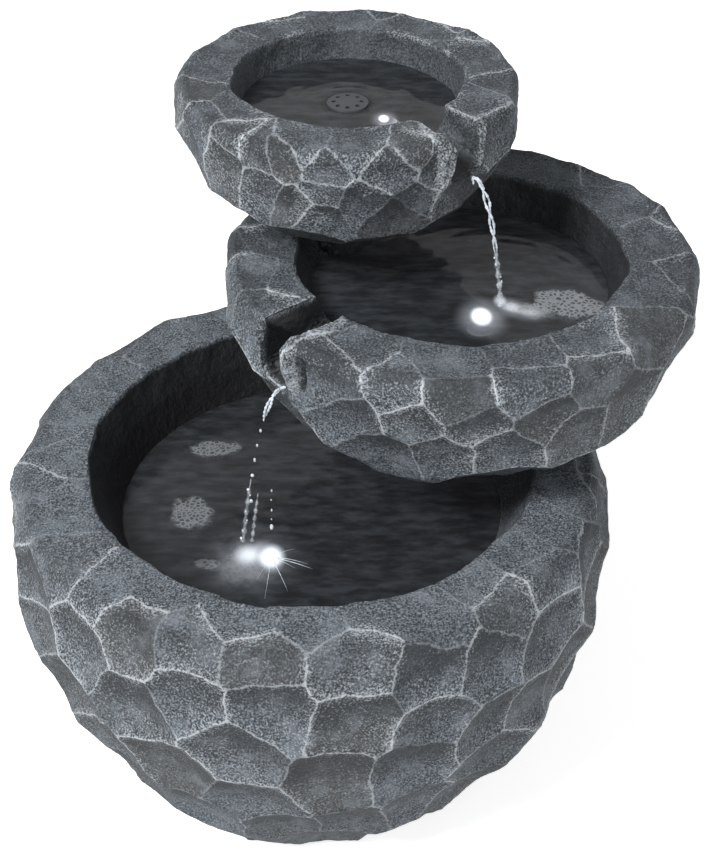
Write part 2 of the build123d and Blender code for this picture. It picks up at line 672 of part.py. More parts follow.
# Pump: motor housing, impeller chamber, impeller on its shaft, intake dial and suction cups
MOTOR_FRONT = CHAMBER_LENGTH - (MOTOR_LENGTH + CHAMBER_LENGTH) / 2
CHAMBER_FACE = MOTOR_FRONT - CHAMBER_LENGTH
NOZZLE_X = MOTOR_FRONT - (CHAMBER_LENGTH - CHAMBER_FRONT) / 2
SHAFT_HEIGHT = CUP_HEIGHT + PUMP_HEIGHT / 2
PUMP_TOP = CUP_HEIGHT + PUMP_HEIGHT
ROTOR_END = MOTOR_FRONT + ROTOR_LENGTH
REAR_BUSH = ROTOR_END + BUSH_GAP
HUB_END = CHAMBER_FACE + CHAMBER_FRONT
BLADE_FACE = MOTOR_FRONT - SHROUD_THICKNESS - BLADE_LENGTH
DIAL_FRONT = CHAMBER_FACE - COLLAR_LENGTH - DIAL_FACE - FIT
COLLAR_RADIUS = EYE_RADIUS + COLLAR_WALL
DIAL_RADIUS = COLLAR_RADIUS + DIAL_RIM
SHAFT_FRAME = Plane(
    origin=(*BOSS_PLACE, LOWER.floor_z + SHAFT_HEIGHT),
    x_dir=(0, 0, 1),
    z_dir=BAY_OUT,
)

with BuildPart() as pump_housing:
    with Locations(BAY_FRAME):
        with Locations((MOTOR_FRONT, 0, CUP_HEIGHT)):
            Box(MOTOR_LENGTH, PUMP_WIDTH, PUMP_HEIGHT, align=(Align.MIN, Align.CENTER, Align.MIN))
    fillet(pump_housing.edges().filter_by(Axis.Z).sort_by(Axis(SHAFT_FRAME.location))[-2:], PUMP_ROUND)
    with Locations(SHAFT_FRAME.offset(MOTOR_FRONT)):
        Cylinder(ROTOR_RADIUS + ROTOR_GAP, ROTOR_LENGTH + BUSH_GAP, align=UPRIGHT, mode=Mode.SUBTRACT)
        Cylinder(BUSH_RADIUS, ROTOR_LENGTH + BUSH_GAP + BUSH_LENGTH, align=UPRIGHT, mode=Mode.SUBTRACT)
    with Locations(BAY_FRAME):
        with Locations((GLAND_PLACE[0], -PUMP_WIDTH / 2, SHAFT_HEIGHT)):
            Cylinder(CABLE_RADIUS + LEAD_BORE_GAP, 2 * CABLE_GRIP, rotation=(90, 0, 0), mode=Mode.SUBTRACT)
pieces["pump_housing"] = pump_housing.part

with BuildPart() as pump_chamber:
    with Locations(BAY_FRAME):
        with Locations((MOTOR_FRONT, 0, CUP_HEIGHT)):
            Box(CHAMBER_LENGTH, PUMP_WIDTH, PUMP_HEIGHT, align=(Align.MAX, Align.CENTER, Align.MIN))
    fillet(pump_chamber.edges().filter_by(Axis.Z).sort_by(Axis(SHAFT_FRAME.location))[:2], PUMP_ROUND)
    with Locations(SHAFT_FRAME.offset(CHAMBER_FACE)):
        Cylinder(COLLAR_RADIUS, COLLAR_LENGTH, align=HANGING)
    with Locations(SHAFT_FRAME.offset(MOTOR_FRONT)):
        Cylinder(CHAMBER_RADIUS, CHAMBER_LENGTH - CHAMBER_FRONT, align=HANGING, mode=Mode.SUBTRACT)
        Cylinder(EYE_RADIUS, 2 * CHAMBER_LENGTH, align=HANGING, mode=Mode.SUBTRACT)
    with Locations(SHAFT_FRAME.offset(CHAMBER_FACE)):
        Cylinder(HUB_RADIUS, CHAMBER_FRONT, align=UPRIGHT)
        with PolarLocations(0, ARM_COUNT):
            Box(EYE_RADIUS + COLLAR_WALL / 2, ARM_WIDTH, CHAMBER_FRONT, align=(Align.MIN, Align.CENTER, Align.MIN))
    with Locations(SHAFT_FRAME.offset(HUB_END)):
        Cylinder(BUSH_RADIUS, BUSH_LENGTH, align=HANGING, mode=Mode.SUBTRACT)
    with Locations(BAY_FRAME):
        with Locations((NOZZLE_X, 0, PUMP_TOP)):
            Cylinder(HOSE_BORE - HOSE_GAP, NOZZLE_LENGTH, align=UPRIGHT)
        with Locations((NOZZLE_X, 0, SHAFT_HEIGHT)):
            Cylinder(HOSE_BORE - HOSE_GAP - NOZZLE_WALL, PUMP_HEIGHT, align=UPRIGHT, mode=Mode.SUBTRACT)
pieces["pump_chamber"] = pump_chamber.part

with BuildPart() as impeller:
    with Locations(SHAFT_FRAME.offset(ROTOR_END)):
        Cylinder(ROTOR_RADIUS, ROTOR_LENGTH, align=HANGING)
    with Locations(SHAFT_FRAME.offset(MOTOR_FRONT)):
        Cylinder(BLADE_RADIUS, SHROUD_THICKNESS, align=HANGING)
        Cylinder(HUB_RADIUS, SHROUD_THICKNESS + BLADE_LENGTH, align=HANGING)
    with Locations(SHAFT_FRAME.offset(BLADE_FACE)):
        with PolarLocations(0, BLADE_COUNT):
            Box(BLADE_RADIUS, BLADE_THICKNESS, BLADE_LENGTH, align=(Align.MIN, Align.CENTER, Align.MIN))
    with Locations(SHAFT_FRAME):
        Cylinder(SHAFT_RADIUS + RUNNING_GAP, 4 * ROTOR_LENGTH, mode=Mode.SUBTRACT)
pieces["impeller"] = impeller.part

with BuildPart() as impeller_shaft:
    with Locations(SHAFT_FRAME.offset(HUB_END - BUSH_LENGTH)):
        Cylinder(SHAFT_RADIUS, REAR_BUSH + 2 * BUSH_LENGTH - HUB_END, align=UPRIGHT)
pieces["impeller_shaft"] = impeller_shaft.part

with BuildPart() as shaft_bushes:
    with Locations(SHAFT_FRAME.offset(HUB_END - BUSH_LENGTH), SHAFT_FRAME.offset(REAR_BUSH)):
        Cylinder(BUSH_RADIUS - THREAD_GAP, BUSH_LENGTH, align=UPRIGHT)
        Cylinder(SHAFT_RADIUS + RUNNING_GAP, BUSH_LENGTH, align=UPRIGHT, mode=Mode.SUBTRACT)
pieces["shaft_bushes"] = shaft_bushes.part

with BuildPart() as intake_dial:
    with Locations(SHAFT_FRAME.offset(DIAL_FRONT)):
        Cylinder(DIAL_RADIUS, DIAL_FACE + COLLAR_LENGTH, align=UPRIGHT)
        Box(
            DIAL_RADIUS + DIAL_LEVER,
            DIAL_RIM,
            DIAL_FACE + COLLAR_LENGTH,
            align=(Align.MIN, Align.CENTER, Align.MIN),
        )
    with Locations(SHAFT_FRAME.offset(DIAL_FRONT + DIAL_FACE)):
        Cylinder(COLLAR_RADIUS + RUNNING_GAP, COLLAR_LENGTH, align=UPRIGHT, mode=Mode.SUBTRACT)
    with Locations(SHAFT_FRAME.offset(DIAL_FRONT)):
        with PolarLocations(DIAL_PORT_REACH, ARM_COUNT, 180 / ARM_COUNT):
            Cylinder(DIAL_PORT_RADIUS, 2 * DIAL_FACE, mode=Mode.SUBTRACT)
pieces["intake_dial"] = intake_dial.part

CUP_ALONG = (MOTOR_LENGTH + CHAMBER_LENGTH) / 2 - CUP_RADIUS
CUP_ACROSS = PUMP_WIDTH / 2 - CUP_RADIUS
with BuildPart() as suction_cups:
    with Locations(BAY_FRAME):
        with GridLocations(2 * CUP_ALONG, 2 * CUP_ACROSS, 2, 2):
            Cone(CUP_RADIUS, CUP_RADIUS / 2, CUP_HEIGHT, align=UPRIGHT)
            Cone(CUP_RADIUS - CUP_LIP, CUP_RADIUS / 4, CUP_HEIGHT / 2, align=UPRIGHT, mode=Mode.SUBTRACT)
pieces["suction_cups"] = suction_cups.part

# Slotted cover that closes the pump bay, pulled out by its knob
COVER_WIDTH = 2 * (BAY_HALF_WIDTH + BAY_LEDGE - FIT)
COVER_HEIGHT = BAY_HEIGHT - 2 * FIT
with BuildPart() as pump_cover:
    with Locations(BAY_FRAME):
        with Locations((-BAY_FRONT, 0, FIT)):
            Box(COVER_THICKNESS, COVER_WIDTH, COVER_HEIGHT, align=(Align.MAX, Align.CENTER, Align.MIN))
        with Locations((-BAY_FRONT - COVER_THICKNESS / 2, 0, BAY_HEIGHT / 2)):
            with Locations(*[(0, (i - (COVER_SLOT_COUNT - 1) / 2) * COVER_SLOT_PITCH, 0)
                             for i in range(COVER_SLOT_COUNT) if i != COVER_SLOT_COUNT // 2]):
                Box(2 * COVER_THICKNESS, COVER_SLOT_WIDTH, COVER_SLOT_HEIGHT, mode=Mode.SUBTRACT)
        with Locations((-BAY_FRONT - COVER_THICKNESS / 2, 0, BAY_HEIGHT / 2)):
            Cylinder(KNOB_RADIUS / 2, KNOB_LENGTH, rotation=(0, -90, 0), align=UPRIGHT)
        with Locations((-BAY_FRONT - COVER_THICKNESS / 2 - KNOB_LENGTH, 0, BAY_HEIGHT / 2)):
            Cylinder(KNOB_RADIUS, KNOB_LENGTH / 3, rotation=(0, -90, 0))
pieces["pump_cover"] = pump_cover.part

# Riser hose from the pump's nozzle, through both tubes, to the outlet in the upper basin
OUTLET_FLANGE_Z = UPPER.floor_z + OUTLET_SEAL_THICKNESS
OUTLET_NUT_Z = UPPER.floor_z - WALL - OUTLET_NUT_HEIGHT
SWAY_TOP = OUTLET_NUT_Z - BARB_LENGTH
HOSE_START = LOWER.floor_z + PUMP_TOP + HOSE_GAP
HOSE_RUN_Z = MIDDLE_SEAT + HOSE_RUN_HEIGHT
WELL_TOP = MIDDLE_SEAT - WALL - LOCK_NUT_HEIGHT
nozzle_place = polar(PUMP_REACH + NOZZLE_X, PUMP_BEARING)
hose_points = [
    (*nozzle_place, HOSE_START),
    (*nozzle_place, HOSE_START + 2 * NOZZLE_LENGTH),
    (*BOSS_PLACE, WELL_TOP - HOSE_EASE / 2),
    (*BOSS_PLACE, HOSE_RUN_Z),
    (*NECK_PLACE, HOSE_RUN_Z),
    (*NECK_PLACE, SWAY_TOP - HOSE_SWAY / 2 - HOSE_SWAY_RISE),
    (*UPPER.place, SWAY_TOP - HOSE_SWAY / 2),
    (*UPPER.place, OUTLET_NUT_Z - HOSE_GAP),
]
hose_radii = [HOSE_EASE, HOSE_EASE, HOSE_BEND, HOSE_BEND, HOSE_SWAY, HOSE_SWAY]
pieces["riser_hose"] = hose_route(hose_points, hose_radii, HOSE_RADIUS, HOSE_BORE)

with BuildPart() as outlet_stem:
    with Locations((*UPPER.place, OUTLET_FLANGE_Z)):
        Cylinder(OUTLET_FLANGE_RADIUS, OUTLET_FLANGE_THICKNESS, align=UPRIGHT)
        Cylinder(OUTLET_STEM_RADIUS, OUTLET_FLANGE_Z - OUTLET_NUT_Z, align=HANGING)
    with Locations((*UPPER.place, OUTLET_NUT_Z)):
        Cylinder(HOSE_BORE - HOSE_GAP, BARB_LENGTH, align=HANGING)
        Cylinder(OUTLET_BORE, 8 * OUTLET_NUT_HEIGHT, mode=Mode.SUBTRACT)
pieces["outlet_stem"] = outlet_stem.part

with BuildPart() as outlet_seal:
    with Locations((*UPPER.place, UPPER.floor_z)):
        Cylinder(OUTLET_FLANGE_RADIUS - FIT, OUTLET_SEAL_THICKNESS, align=UPRIGHT)
        Cylinder(OUTLET_STEM_RADIUS + THREAD_GAP, OUTLET_SEAL_THICKNESS, align=UPRIGHT, mode=Mode.SUBTRACT)
pieces["outlet_seal"] = outlet_seal.part

with BuildPart() as outlet_nut:
    with BuildSketch(Plane((*UPPER.place, OUTLET_NUT_Z))):
        RegularPolygon(OUTLET_NUT_RADIUS, 6)
        Circle(OUTLET_STEM_RADIUS + THREAD_GAP, mode=Mode.SUBTRACT)
    extrude(amount=OUTLET_NUT_HEIGHT)
pieces["outlet_nut"] = outlet_nut.part

with BuildPart() as outlet_diffuser:
    with BuildSketch(Plane(origin=(*UPPER.place, OUTLET_FLANGE_Z + OUTLET_FLANGE_THICKNESS), x_dir=(1, 0, 0),
                           z_dir=(0, -1, 0))):
        with BuildLine():
            Polyline(
                (0, DIFFUSER_HEIGHT - DIFFUSER_SHELL),
                (DIFFUSER_CROWN - DIFFUSER_SHELL, DIFFUSER_HEIGHT - 2 * DIFFUSER_SHELL),
                (DIFFUSER_CROWN - DIFFUSER_SHELL, 0),
                (OUTLET_FLANGE_RADIUS + FIT, 0),
                (OUTLET_FLANGE_RADIUS + FIT, -DIFFUSER_SKIRT),
                (DIFFUSER_RADIUS, -DIFFUSER_SKIRT),
                (DIFFUSER_RADIUS, DIFFUSER_BRIM),
                (DIFFUSER_CROWN + DIFFUSER_SHELL, 2 * DIFFUSER_BRIM),
                (DIFFUSER_CROWN, DIFFUSER_HEIGHT - DIFFUSER_SHELL),
                (0, DIFFUSER_HEIGHT),
                close=True,
            )
        make_face()
    revolve(axis=UPPER.axis)
    with Locations((*UPPER.place, OUTLET_FLANGE_Z + OUTLET_FLANGE_THICKNESS + DIFFUSER_HEIGHT)):
        with PolarLocations(DIFFUSER_HOLE_REACH, DIFFUSER_HOLE_COUNT):
            Cylinder(DIFFUSER_HOLE_RADIUS, 6 * DIFFUSER_SHELL, mode=Mode.SUBTRACT)
pieces["outlet_diffuser"] = outlet_diffuser.part

# Basin lamps: body, lens, board, seal and nut in the floor of each basin
LAMP_BASE = LAMP_SEAL_THICKNESS
STEM_END = -WALL - LAMP_NUT_HEIGHT - LAMP_STEM_TAIL
LENS_Z = LAMP_BASE + LAMP_HEIGHT - LENS_SEAT
BOARD_Z = LENS_Z - BOARD_POCKET
for name, place in LAMPS.items():
    with BuildPart() as lamp_body:
        with Locations(place):
            with Locations((0, 0, LAMP_BASE)):
                Cylinder(LAMP_RADIUS, LAMP_HEIGHT, align=UPRIGHT)
                Cylinder(LAMP_STEM_RADIUS, LAMP_BASE - STEM_END, align=HANGING)
        fillet(lamp_body.edges().filter_by(GeomType.CIRCLE).group_by(Axis.Z)[-1], LAMP_ROUND)
        with Locations(place):
            with Locations((0, 0, LENS_Z)):
                Cylinder(LENS_RADIUS + THREAD_GAP, LENS_SEAT, align=UPRIGHT, mode=Mode.SUBTRACT)
            with Locations((0, 0, BOARD_Z)):
                Cylinder(BOARD_RADIUS + THREAD_GAP, BOARD_POCKET, align=UPRIGHT, mode=Mode.SUBTRACT)
                Cylinder(LEAD_RADIUS + LEAD_BORE_GAP, BOARD_Z - STEM_END, align=HANGING, mode=Mode.SUBTRACT)
    pieces[f"{name}_lamp_body"] = lamp_body.part
    with BuildPart() as lamp_lens:
        with Locations(place):
            with Locations((0, 0, LENS_Z)):
                Cylinder(LENS_RADIUS, LENS_SEAT, align=UPRIGHT)
            with Locations((0, 0, LENS_Z + LENS_SEAT)):
                Cone(LENS_RADIUS, LENS_RADIUS / 2, LENS_DOME, align=UPRIGHT)
    pieces[f"{name}_lamp_lens"] = lamp_lens.part
    with BuildPart() as lamp_board:
        with Locations(place):
            with Locations((0, 0, BOARD_Z)):
                Cylinder(BOARD_RADIUS, BOARD_THICKNESS, align=UPRIGHT)
    pieces[f"{name}_lamp_board"] = lamp_board.part
    with BuildPart() as lamp_seal:
        with Locations(place):
            Cylinder(LAMP_RADIUS - FIT, LAMP_SEAL_THICKNESS, align=UPRIGHT)
            Cylinder(LAMP_STEM_RADIUS + THREAD_GAP, LAMP_SEAL_THICKNESS, align=UPRIGHT, mode=Mode.SUBTRACT)
    pieces[f"{name}_lamp_seal"] = lamp_seal.part
    with BuildPart() as lamp_nut:
        with BuildSketch(Plane((place[0], place[1], place[2] - WALL - LAMP_NUT_HEIGHT))):
            RegularPolygon(LAMP_NUT_RADIUS, 6)
            Circle(LAMP_STEM_RADIUS + THREAD_GAP, mode=Mode.SUBTRACT)
        extrude(amount=LAMP_NUT_HEIGHT)
    pieces[f"{name}_lamp_nut"] = lamp_nut.part

# Splitter on the base plate, grommet between the castings, and the gland under the pump bay
with BuildPart() as cable_splitter:
    with Locations(SPLITTER_FRAME):
        Box(SPLITTER_LENGTH, SPLITTER_WIDTH, SPLITTER_HEIGHT, align=UPRIGHT)
    fillet(cable_splitter.edges().filter_by(Axis.Z), SPLITTER_ROUND)
pieces["cable_splitter"] = cable_splitter.part

GROMMET_LENGTH = 2 * WALL + MIDDLE_SEAT_RISE
with BuildPart() as lead_grommet:
    with Locations(GROMMET_FRAME):
        Cylinder(GROMMET_FLANGE, GROMMET_FLANGE_THICKNESS, align=UPRIGHT)
        Cylinder(GROMMET_RADIUS, GROMMET_LENGTH, align=HANGING)
        with GridLocations(0, LEAD_PITCH, 1, 2):
            Cylinder(LEAD_RADIUS + LEAD_BORE_GAP, 3 * GROMMET_LENGTH, mode=Mode.SUBTRACT)
pieces["lead_grommet"] = lead_grommet.part

with BuildPart() as pump_gland:
    with Locations(BAY_FRAME):
        with Locations(GLAND_PLACE):
            Cylinder(GLAND_FLANGE, GLAND_FLANGE_THICKNESS, align=UPRIGHT)
            Cylinder(GLAND_RADIUS, WALL + GLAND_TAIL, align=HANGING)
            Cylinder(CABLE_RADIUS + LEAD_BORE_GAP, 4 * WALL, mode=Mode.SUBTRACT)
pieces["pump_gland"] = pump_gland.part

# Power inlet in a recess of the outer skin
with BuildPart() as power_inlet:
    with Locations(INLET_FRAME):
        Cylinder(INLET_FLANGE, INLET_FLANGE_THICKNESS, align=UPRIGHT)
        Cylinder(INLET_NOSE_RADIUS, INLET_FLANGE_THICKNESS + INLET_NOSE, align=UPRIGHT)
        Cylinder(INLET_BARREL, INLET_TAIL, align=HANGING)
    with Locations(INLET_FRAME.offset(INLET_FLANGE_THICKNESS + INLET_NOSE)):
        Cylinder(INLET_SOCKET, INLET_SOCKET_DEPTH, align=HANGING, mode=Mode.SUBTRACT)
    with Locations(INLET_FRAME.offset(INLET_FLANGE_THICKNESS + INLET_NOSE - INLET_SOCKET_DEPTH)):
        with GridLocations(0, INLET_PIN_PITCH, 1, 2):
            Cylinder(INLET_PIN_RADIUS, INLET_SOCKET_DEPTH - INLET_PIN_PITCH / 2, align=UPRIGHT)
pieces["power_inlet"] = power_inlet.part

with BuildPart() as inlet_nut:
    with BuildSketch(INLET_FRAME.offset(-WALL - INLET_NUT_HEIGHT)):
        RegularPolygon(INLET_NUT_RADIUS, 6)
        Circle(INLET_BARREL + THREAD_GAP, mode=Mode.SUBTRACT)
    extrude(amount=INLET_NUT_HEIGHT)
pieces["inlet_nut"] = inlet_nut.part


def splitter_point(along, across, height):
    """World point given along the splitter's bearing, across it and above the base plate."""
    place = polar(across, SPLITTER_BEARING + 90, polar(along, SPLITTER_BEARING))
    return (*place, PLATE_TOP + height)


def lamp_start(name):
    """Top of a lamp's lead, under its board."""
    place = LAMPS[name]
    return (place[0], place[1], place[2] + BOARD_Z)


# Leads of the upper and middle lamps share the grommet and come down beside each other
FALL_HEIGHT = LOWER.floor_z - PLATE_TOP
ENTRY_HEIGHT = SPLITTER_HEIGHT + 2 * LEAD_BEND
LEAD_SIDE = HOSE_RADIUS + LEAD_RADIUS + 3 * FIT
sway_bearing = bearing_of(NECK_PLACE, UPPER.place)
tube_side = polar(LEAD_SIDE, sway_bearing - 90, NECK_PLACE)
outlet_side = polar(LEAD_SIDE + LEAD_BEND, sway_bearing - 90, UPPER.place)
boss_side = polar(LOWER_BOSS_RADIUS + LEAD_BEND, bearing_of(NECK_PLACE, BOSS_PLACE) - 90, BOSS_PLACE)
upper_cross_z = UPPER_SEAT + WALL + TUBE_FLANGE_THICKNESS + 2 * LEAD_BEND
under_basin_z = MIDDLE.floor_z - WALL - LAMP_NUT_HEIGHT - 2 * LEAD_BEND
upper_points = [
    lamp_start("upper"),
    (*offset(UPPER.place, UPPER_LAMP), upper_cross_z),
    (*outlet_side, upper_cross_z),
    (*tube_side, upper_cross_z),
    (*tube_side, under_basin_z),
    (*boss_side, under_basin_z),
    splitter_point(GROMMET_REACH, LEAD_PITCH / 2, under_basin_z - PLATE_TOP),
    splitter_point(GROMMET_REACH, LEAD_PITCH / 2, FALL_HEIGHT),
    splitter_point(SPLITTER_REACH, LEAD_PITCH / 2, ENTRY_HEIGHT),
    splitter_point(SPLITTER_REACH, LEAD_PITCH / 2, SPLITTER_HEIGHT),
]
pieces["upper_lamp_lead"] = hose_route(upper_points, LEAD_BEND, LEAD_RADIUS, 0)

middle_points = [
    lamp_start("middle"),
    (*offset(MIDDLE.place, MIDDLE_LAMP), under_basin_z),
    splitter_point(GROMMET_REACH, -LEAD_PITCH / 2, under_basin_z - PLATE_TOP),
    splitter_point(GROMMET_REACH, -LEAD_PITCH / 2, FALL_HEIGHT),
    splitter_point(SPLITTER_REACH, -LEAD_PITCH / 2, ENTRY_HEIGHT),
    splitter_point(SPLITTER_REACH, -LEAD_PITCH / 2, SPLITTER_HEIGHT),
]
pieces["middle_lamp_lead"] = hose_route(middle_points, LEAD_BEND, LEAD_RADIUS, 0)

side_entry = SPLITTER_REACH - SPLITTER_LENGTH / 2
lower_points = [
    lamp_start("lower"),
    (*offset(LOWER.place, LOWER_LAMP), PLATE_TOP + SPLITTER_HEIGHT / 2),
    splitter_point(side_entry - 3 * LEAD_BEND, -SPLITTER_WIDTH / 4, SPLITTER_HEIGHT / 2),
    splitter_point(side_entry, -SPLITTER_WIDTH / 4, SPLITTER_HEIGHT / 2),
]
pieces["lower_lamp_lead"] = hose_route(lower_points, LEAD_BEND, LEAD_RADIUS, 0)


def bay_point(along, across, height):
    """World point in the pump bay's own frame."""
    return BAY_FRAME.from_local_coords((along, across, height))


pump_entry = SPLITTER_WIDTH / 2 - CABLE_RADIUS - SPLITTER_ROUND
gland_x, gland_y = GLAND_PLACE
under_bay = ENTRY_HEIGHT + PLATE_TOP - LOWER.floor_z
pump_points = [
    bay_point(gland_x, -PUMP_WIDTH / 2 + CABLE_GRIP, SHAFT_HEIGHT),
    bay_point(gland_x, gland_y, SHAFT_HEIGHT),
    bay_point(gland_x, gland_y, under_bay),
    splitter_point(SPLITTER_REACH, pump_entry, ENTRY_HEIGHT),
    splitter_point(SPLITTER_REACH, pump_entry, SPLITTER_HEIGHT),
]
pieces["pump_lead"] = hose_route(pump_points, LEAD_BEND, CABLE_RADIUS, 0)

inlet_back = INLET_FACE - INLET_TAIL
inlet_z = LOWER.base_z + INLET_HEIGHT
supply_points = [
    (*polar(inlet_back, INLET_BEARING), inlet_z),
    (*polar(inlet_back - 3 * LEAD_BEND, INLET_BEARING), inlet_z),
    splitter_point(SPLITTER_REACH, SPLITTER_WIDTH / 2 + 3 * LEAD_BEND, SPLITTER_HEIGHT / 2),
    splitter_point(SPLITTER_REACH, SPLITTER_WIDTH / 2, SPLITTER_HEIGHT / 2),
]
pieces["supply_lead"] = hose_route(supply_points, LEAD_BEND, CABLE_RADIUS, 0)

os.makedirs("parts", exist_ok=True)
for name, piece in pieces.items():
    piece.label = name
    export_step(piece, f"parts/{name}.step")
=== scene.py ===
# %% [markdown]
# # A cascading garden fountain
# Three stone-look bowls stand on each other's rims. A hidden pump lifts water to the upper basin, and it
# falls through two cut spouts back to the lower one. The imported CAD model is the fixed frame: every piece
# made here sits on it, in metres, and moves with one of its bodies.

# %% Load the frame
import json
import math
from dataclasses import dataclass

import bmesh
import bpy
import numpy as np
from mathutils import Euler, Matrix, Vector, noise


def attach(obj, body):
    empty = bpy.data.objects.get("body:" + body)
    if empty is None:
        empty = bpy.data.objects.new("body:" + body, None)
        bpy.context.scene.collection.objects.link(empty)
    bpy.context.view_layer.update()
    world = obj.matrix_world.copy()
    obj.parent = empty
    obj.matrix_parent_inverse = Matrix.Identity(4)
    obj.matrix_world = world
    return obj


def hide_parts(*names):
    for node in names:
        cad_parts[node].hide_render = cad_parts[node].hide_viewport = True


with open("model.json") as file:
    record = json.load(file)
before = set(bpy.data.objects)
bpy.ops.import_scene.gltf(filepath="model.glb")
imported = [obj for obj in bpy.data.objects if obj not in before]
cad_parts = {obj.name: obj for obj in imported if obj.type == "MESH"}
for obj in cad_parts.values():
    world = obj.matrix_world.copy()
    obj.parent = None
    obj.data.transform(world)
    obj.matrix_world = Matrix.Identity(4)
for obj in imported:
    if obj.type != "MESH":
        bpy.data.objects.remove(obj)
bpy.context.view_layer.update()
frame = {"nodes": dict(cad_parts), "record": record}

MM = 0.001
NOISE_SEED = 3
noise.seed_set(NOISE_SEED)  # without a seed, the noise changes from run to run
NODES = frame["nodes"]

# %% [markdown]
# ## Colours and shader nodes
# Colours are written as they look on a screen, in sRGB hex, and shaders work in linear light, so one
# function turns the first into the second. One more function adds a shader node, with its settings and
# its inputs, so that each material below reads as a short list.


# %% Colour and node helpers
def linear(code):
    """Linear RGBA of an sRGB hex colour."""
    parts = [int(code[i:i + 2], 16) / 255 for i in (1, 3, 5)]
    return [*[c / 12.92 if c <= 0.04045 else ((c + 0.055) / 1.055) ** 2.4 for c in parts], 1.0]


def node(tree, kind, inputs=None, **settings):
    """Adds a shader node; inputs are numbers, colours or the outputs of other nodes."""
    made = tree.nodes.new(kind)
    for name, value in settings.items():
        setattr(made, name, value)
    for name, value in (inputs or {}).items():
        if isinstance(value, bpy.types.NodeSocket):
            tree.links.new(value, made.inputs[name])
        else:
            made.inputs[name].default_value = value
    return made


def new_material(name, **constants):
    """A material with a bare shader: the material, its node tree, the shader and the Object coordinates."""
    made = bpy.data.materials.new(name)
    made.use_nodes = True
    tree = made.node_tree
    tree.nodes.clear()
    shader = node(tree, "ShaderNodeBsdfPrincipled", {k.replace("_", " "): v for k, v in constants.items()})
    node(tree, "ShaderNodeOutputMaterial", {"Surface": shader.outputs[0]})
    place = node(tree, "ShaderNodeTexCoord").outputs["Object"]
    return made, tree, shader, place


def per_mm(size):
    """Texture scale that gives features of a size in millimetres."""
    return 1 / (size * MM)


# %% [markdown]
# ## The bowls' turned shapes
# Each bowl is a round casting before it is carved: a flank that swells to a belly, a wide rim and a
# basin. The sizes repeat the CAD model's, because carving has to know where the skin is.


# %% Bowl sizes
@dataclass
class Bowl:
    """Turned shape of one bowl, in millimetres; heights are measured up from its underside."""

    name: str
    place: tuple
    seat: float
    height: float
    base: float
    belly: float
    belly_height: float
    rim: float
    mouth: float
    floor: float
    depth: float
    voxel: float
    spacing: float

    def __post_init__(self):
        self.rim_z = self.seat + self.height
        out, rise = self.belly - self.rim, self.height - self.belly_height
        upper_swing = (out**2 + rise**2) / (2 * out)
        out, rise = self.belly - self.base, self.belly_height
        lower_swing = (out**2 + rise**2) / (2 * out)
        high = np.linspace(self.height, self.belly_height, 80)
        low = np.linspace(self.belly_height, 0, 160)
        above = self.belly - upper_swing + np.sqrt(upper_swing**2 - (high - self.belly_height) ** 2)
        below = self.belly - lower_swing + np.sqrt(lower_swing**2 - (low - self.belly_height) ** 2)
        self.radii = np.concatenate([[self.mouth], above, below])
        self.heights = np.concatenate([[self.height], high, low])
        steps = np.hypot(np.diff(self.radii), np.diff(self.heights))
        self.lengths = np.concatenate([[0], np.cumsum(steps)])

    def flank(self, height):
        """Radius of the outer skin at a height."""
        return np.interp(height, self.heights[:0:-1], self.radii[:0:-1])

    def basin(self, z):
        """Radius of the basin's wall at a level."""
        return self.mouth - (self.mouth - self.floor) / self.depth * (self.rim_z - z)

    def on_skin(self, bearing, down):
        """Point on the outer skin at a bearing in degrees and a distance down the skin from the mouth."""
        radius = np.interp(down, self.lengths, self.radii)
        turn = math.radians(bearing)
        return (self.place[0] + radius * math.cos(turn), self.place[1] + radius * math.sin(turn),
                self.seat + np.interp(down, self.lengths, self.heights))


LOWER = Bowl("lower", (0, 0), 3, 238, 137, 201.5, 167, 189, 150, 80, 169, 3.2, 56)
MIDDLE = Bowl("middle", (98.5, 53.5), 245, 120, 64, 152, 100, 149, 108.5, 86, 55, 2.6, 50)
UPPER = Bowl("upper", (25, 108), 368, 94, 42, 108.5, 74, 107.5, 74.7, 67, 34, 2.1, 42)
BOWLS = [LOWER, MIDDLE, UPPER]
for bowl in BOWLS:
    print(bowl.name, "skin runs", round(bowl.lengths[-1]), "mm from mouth to base")
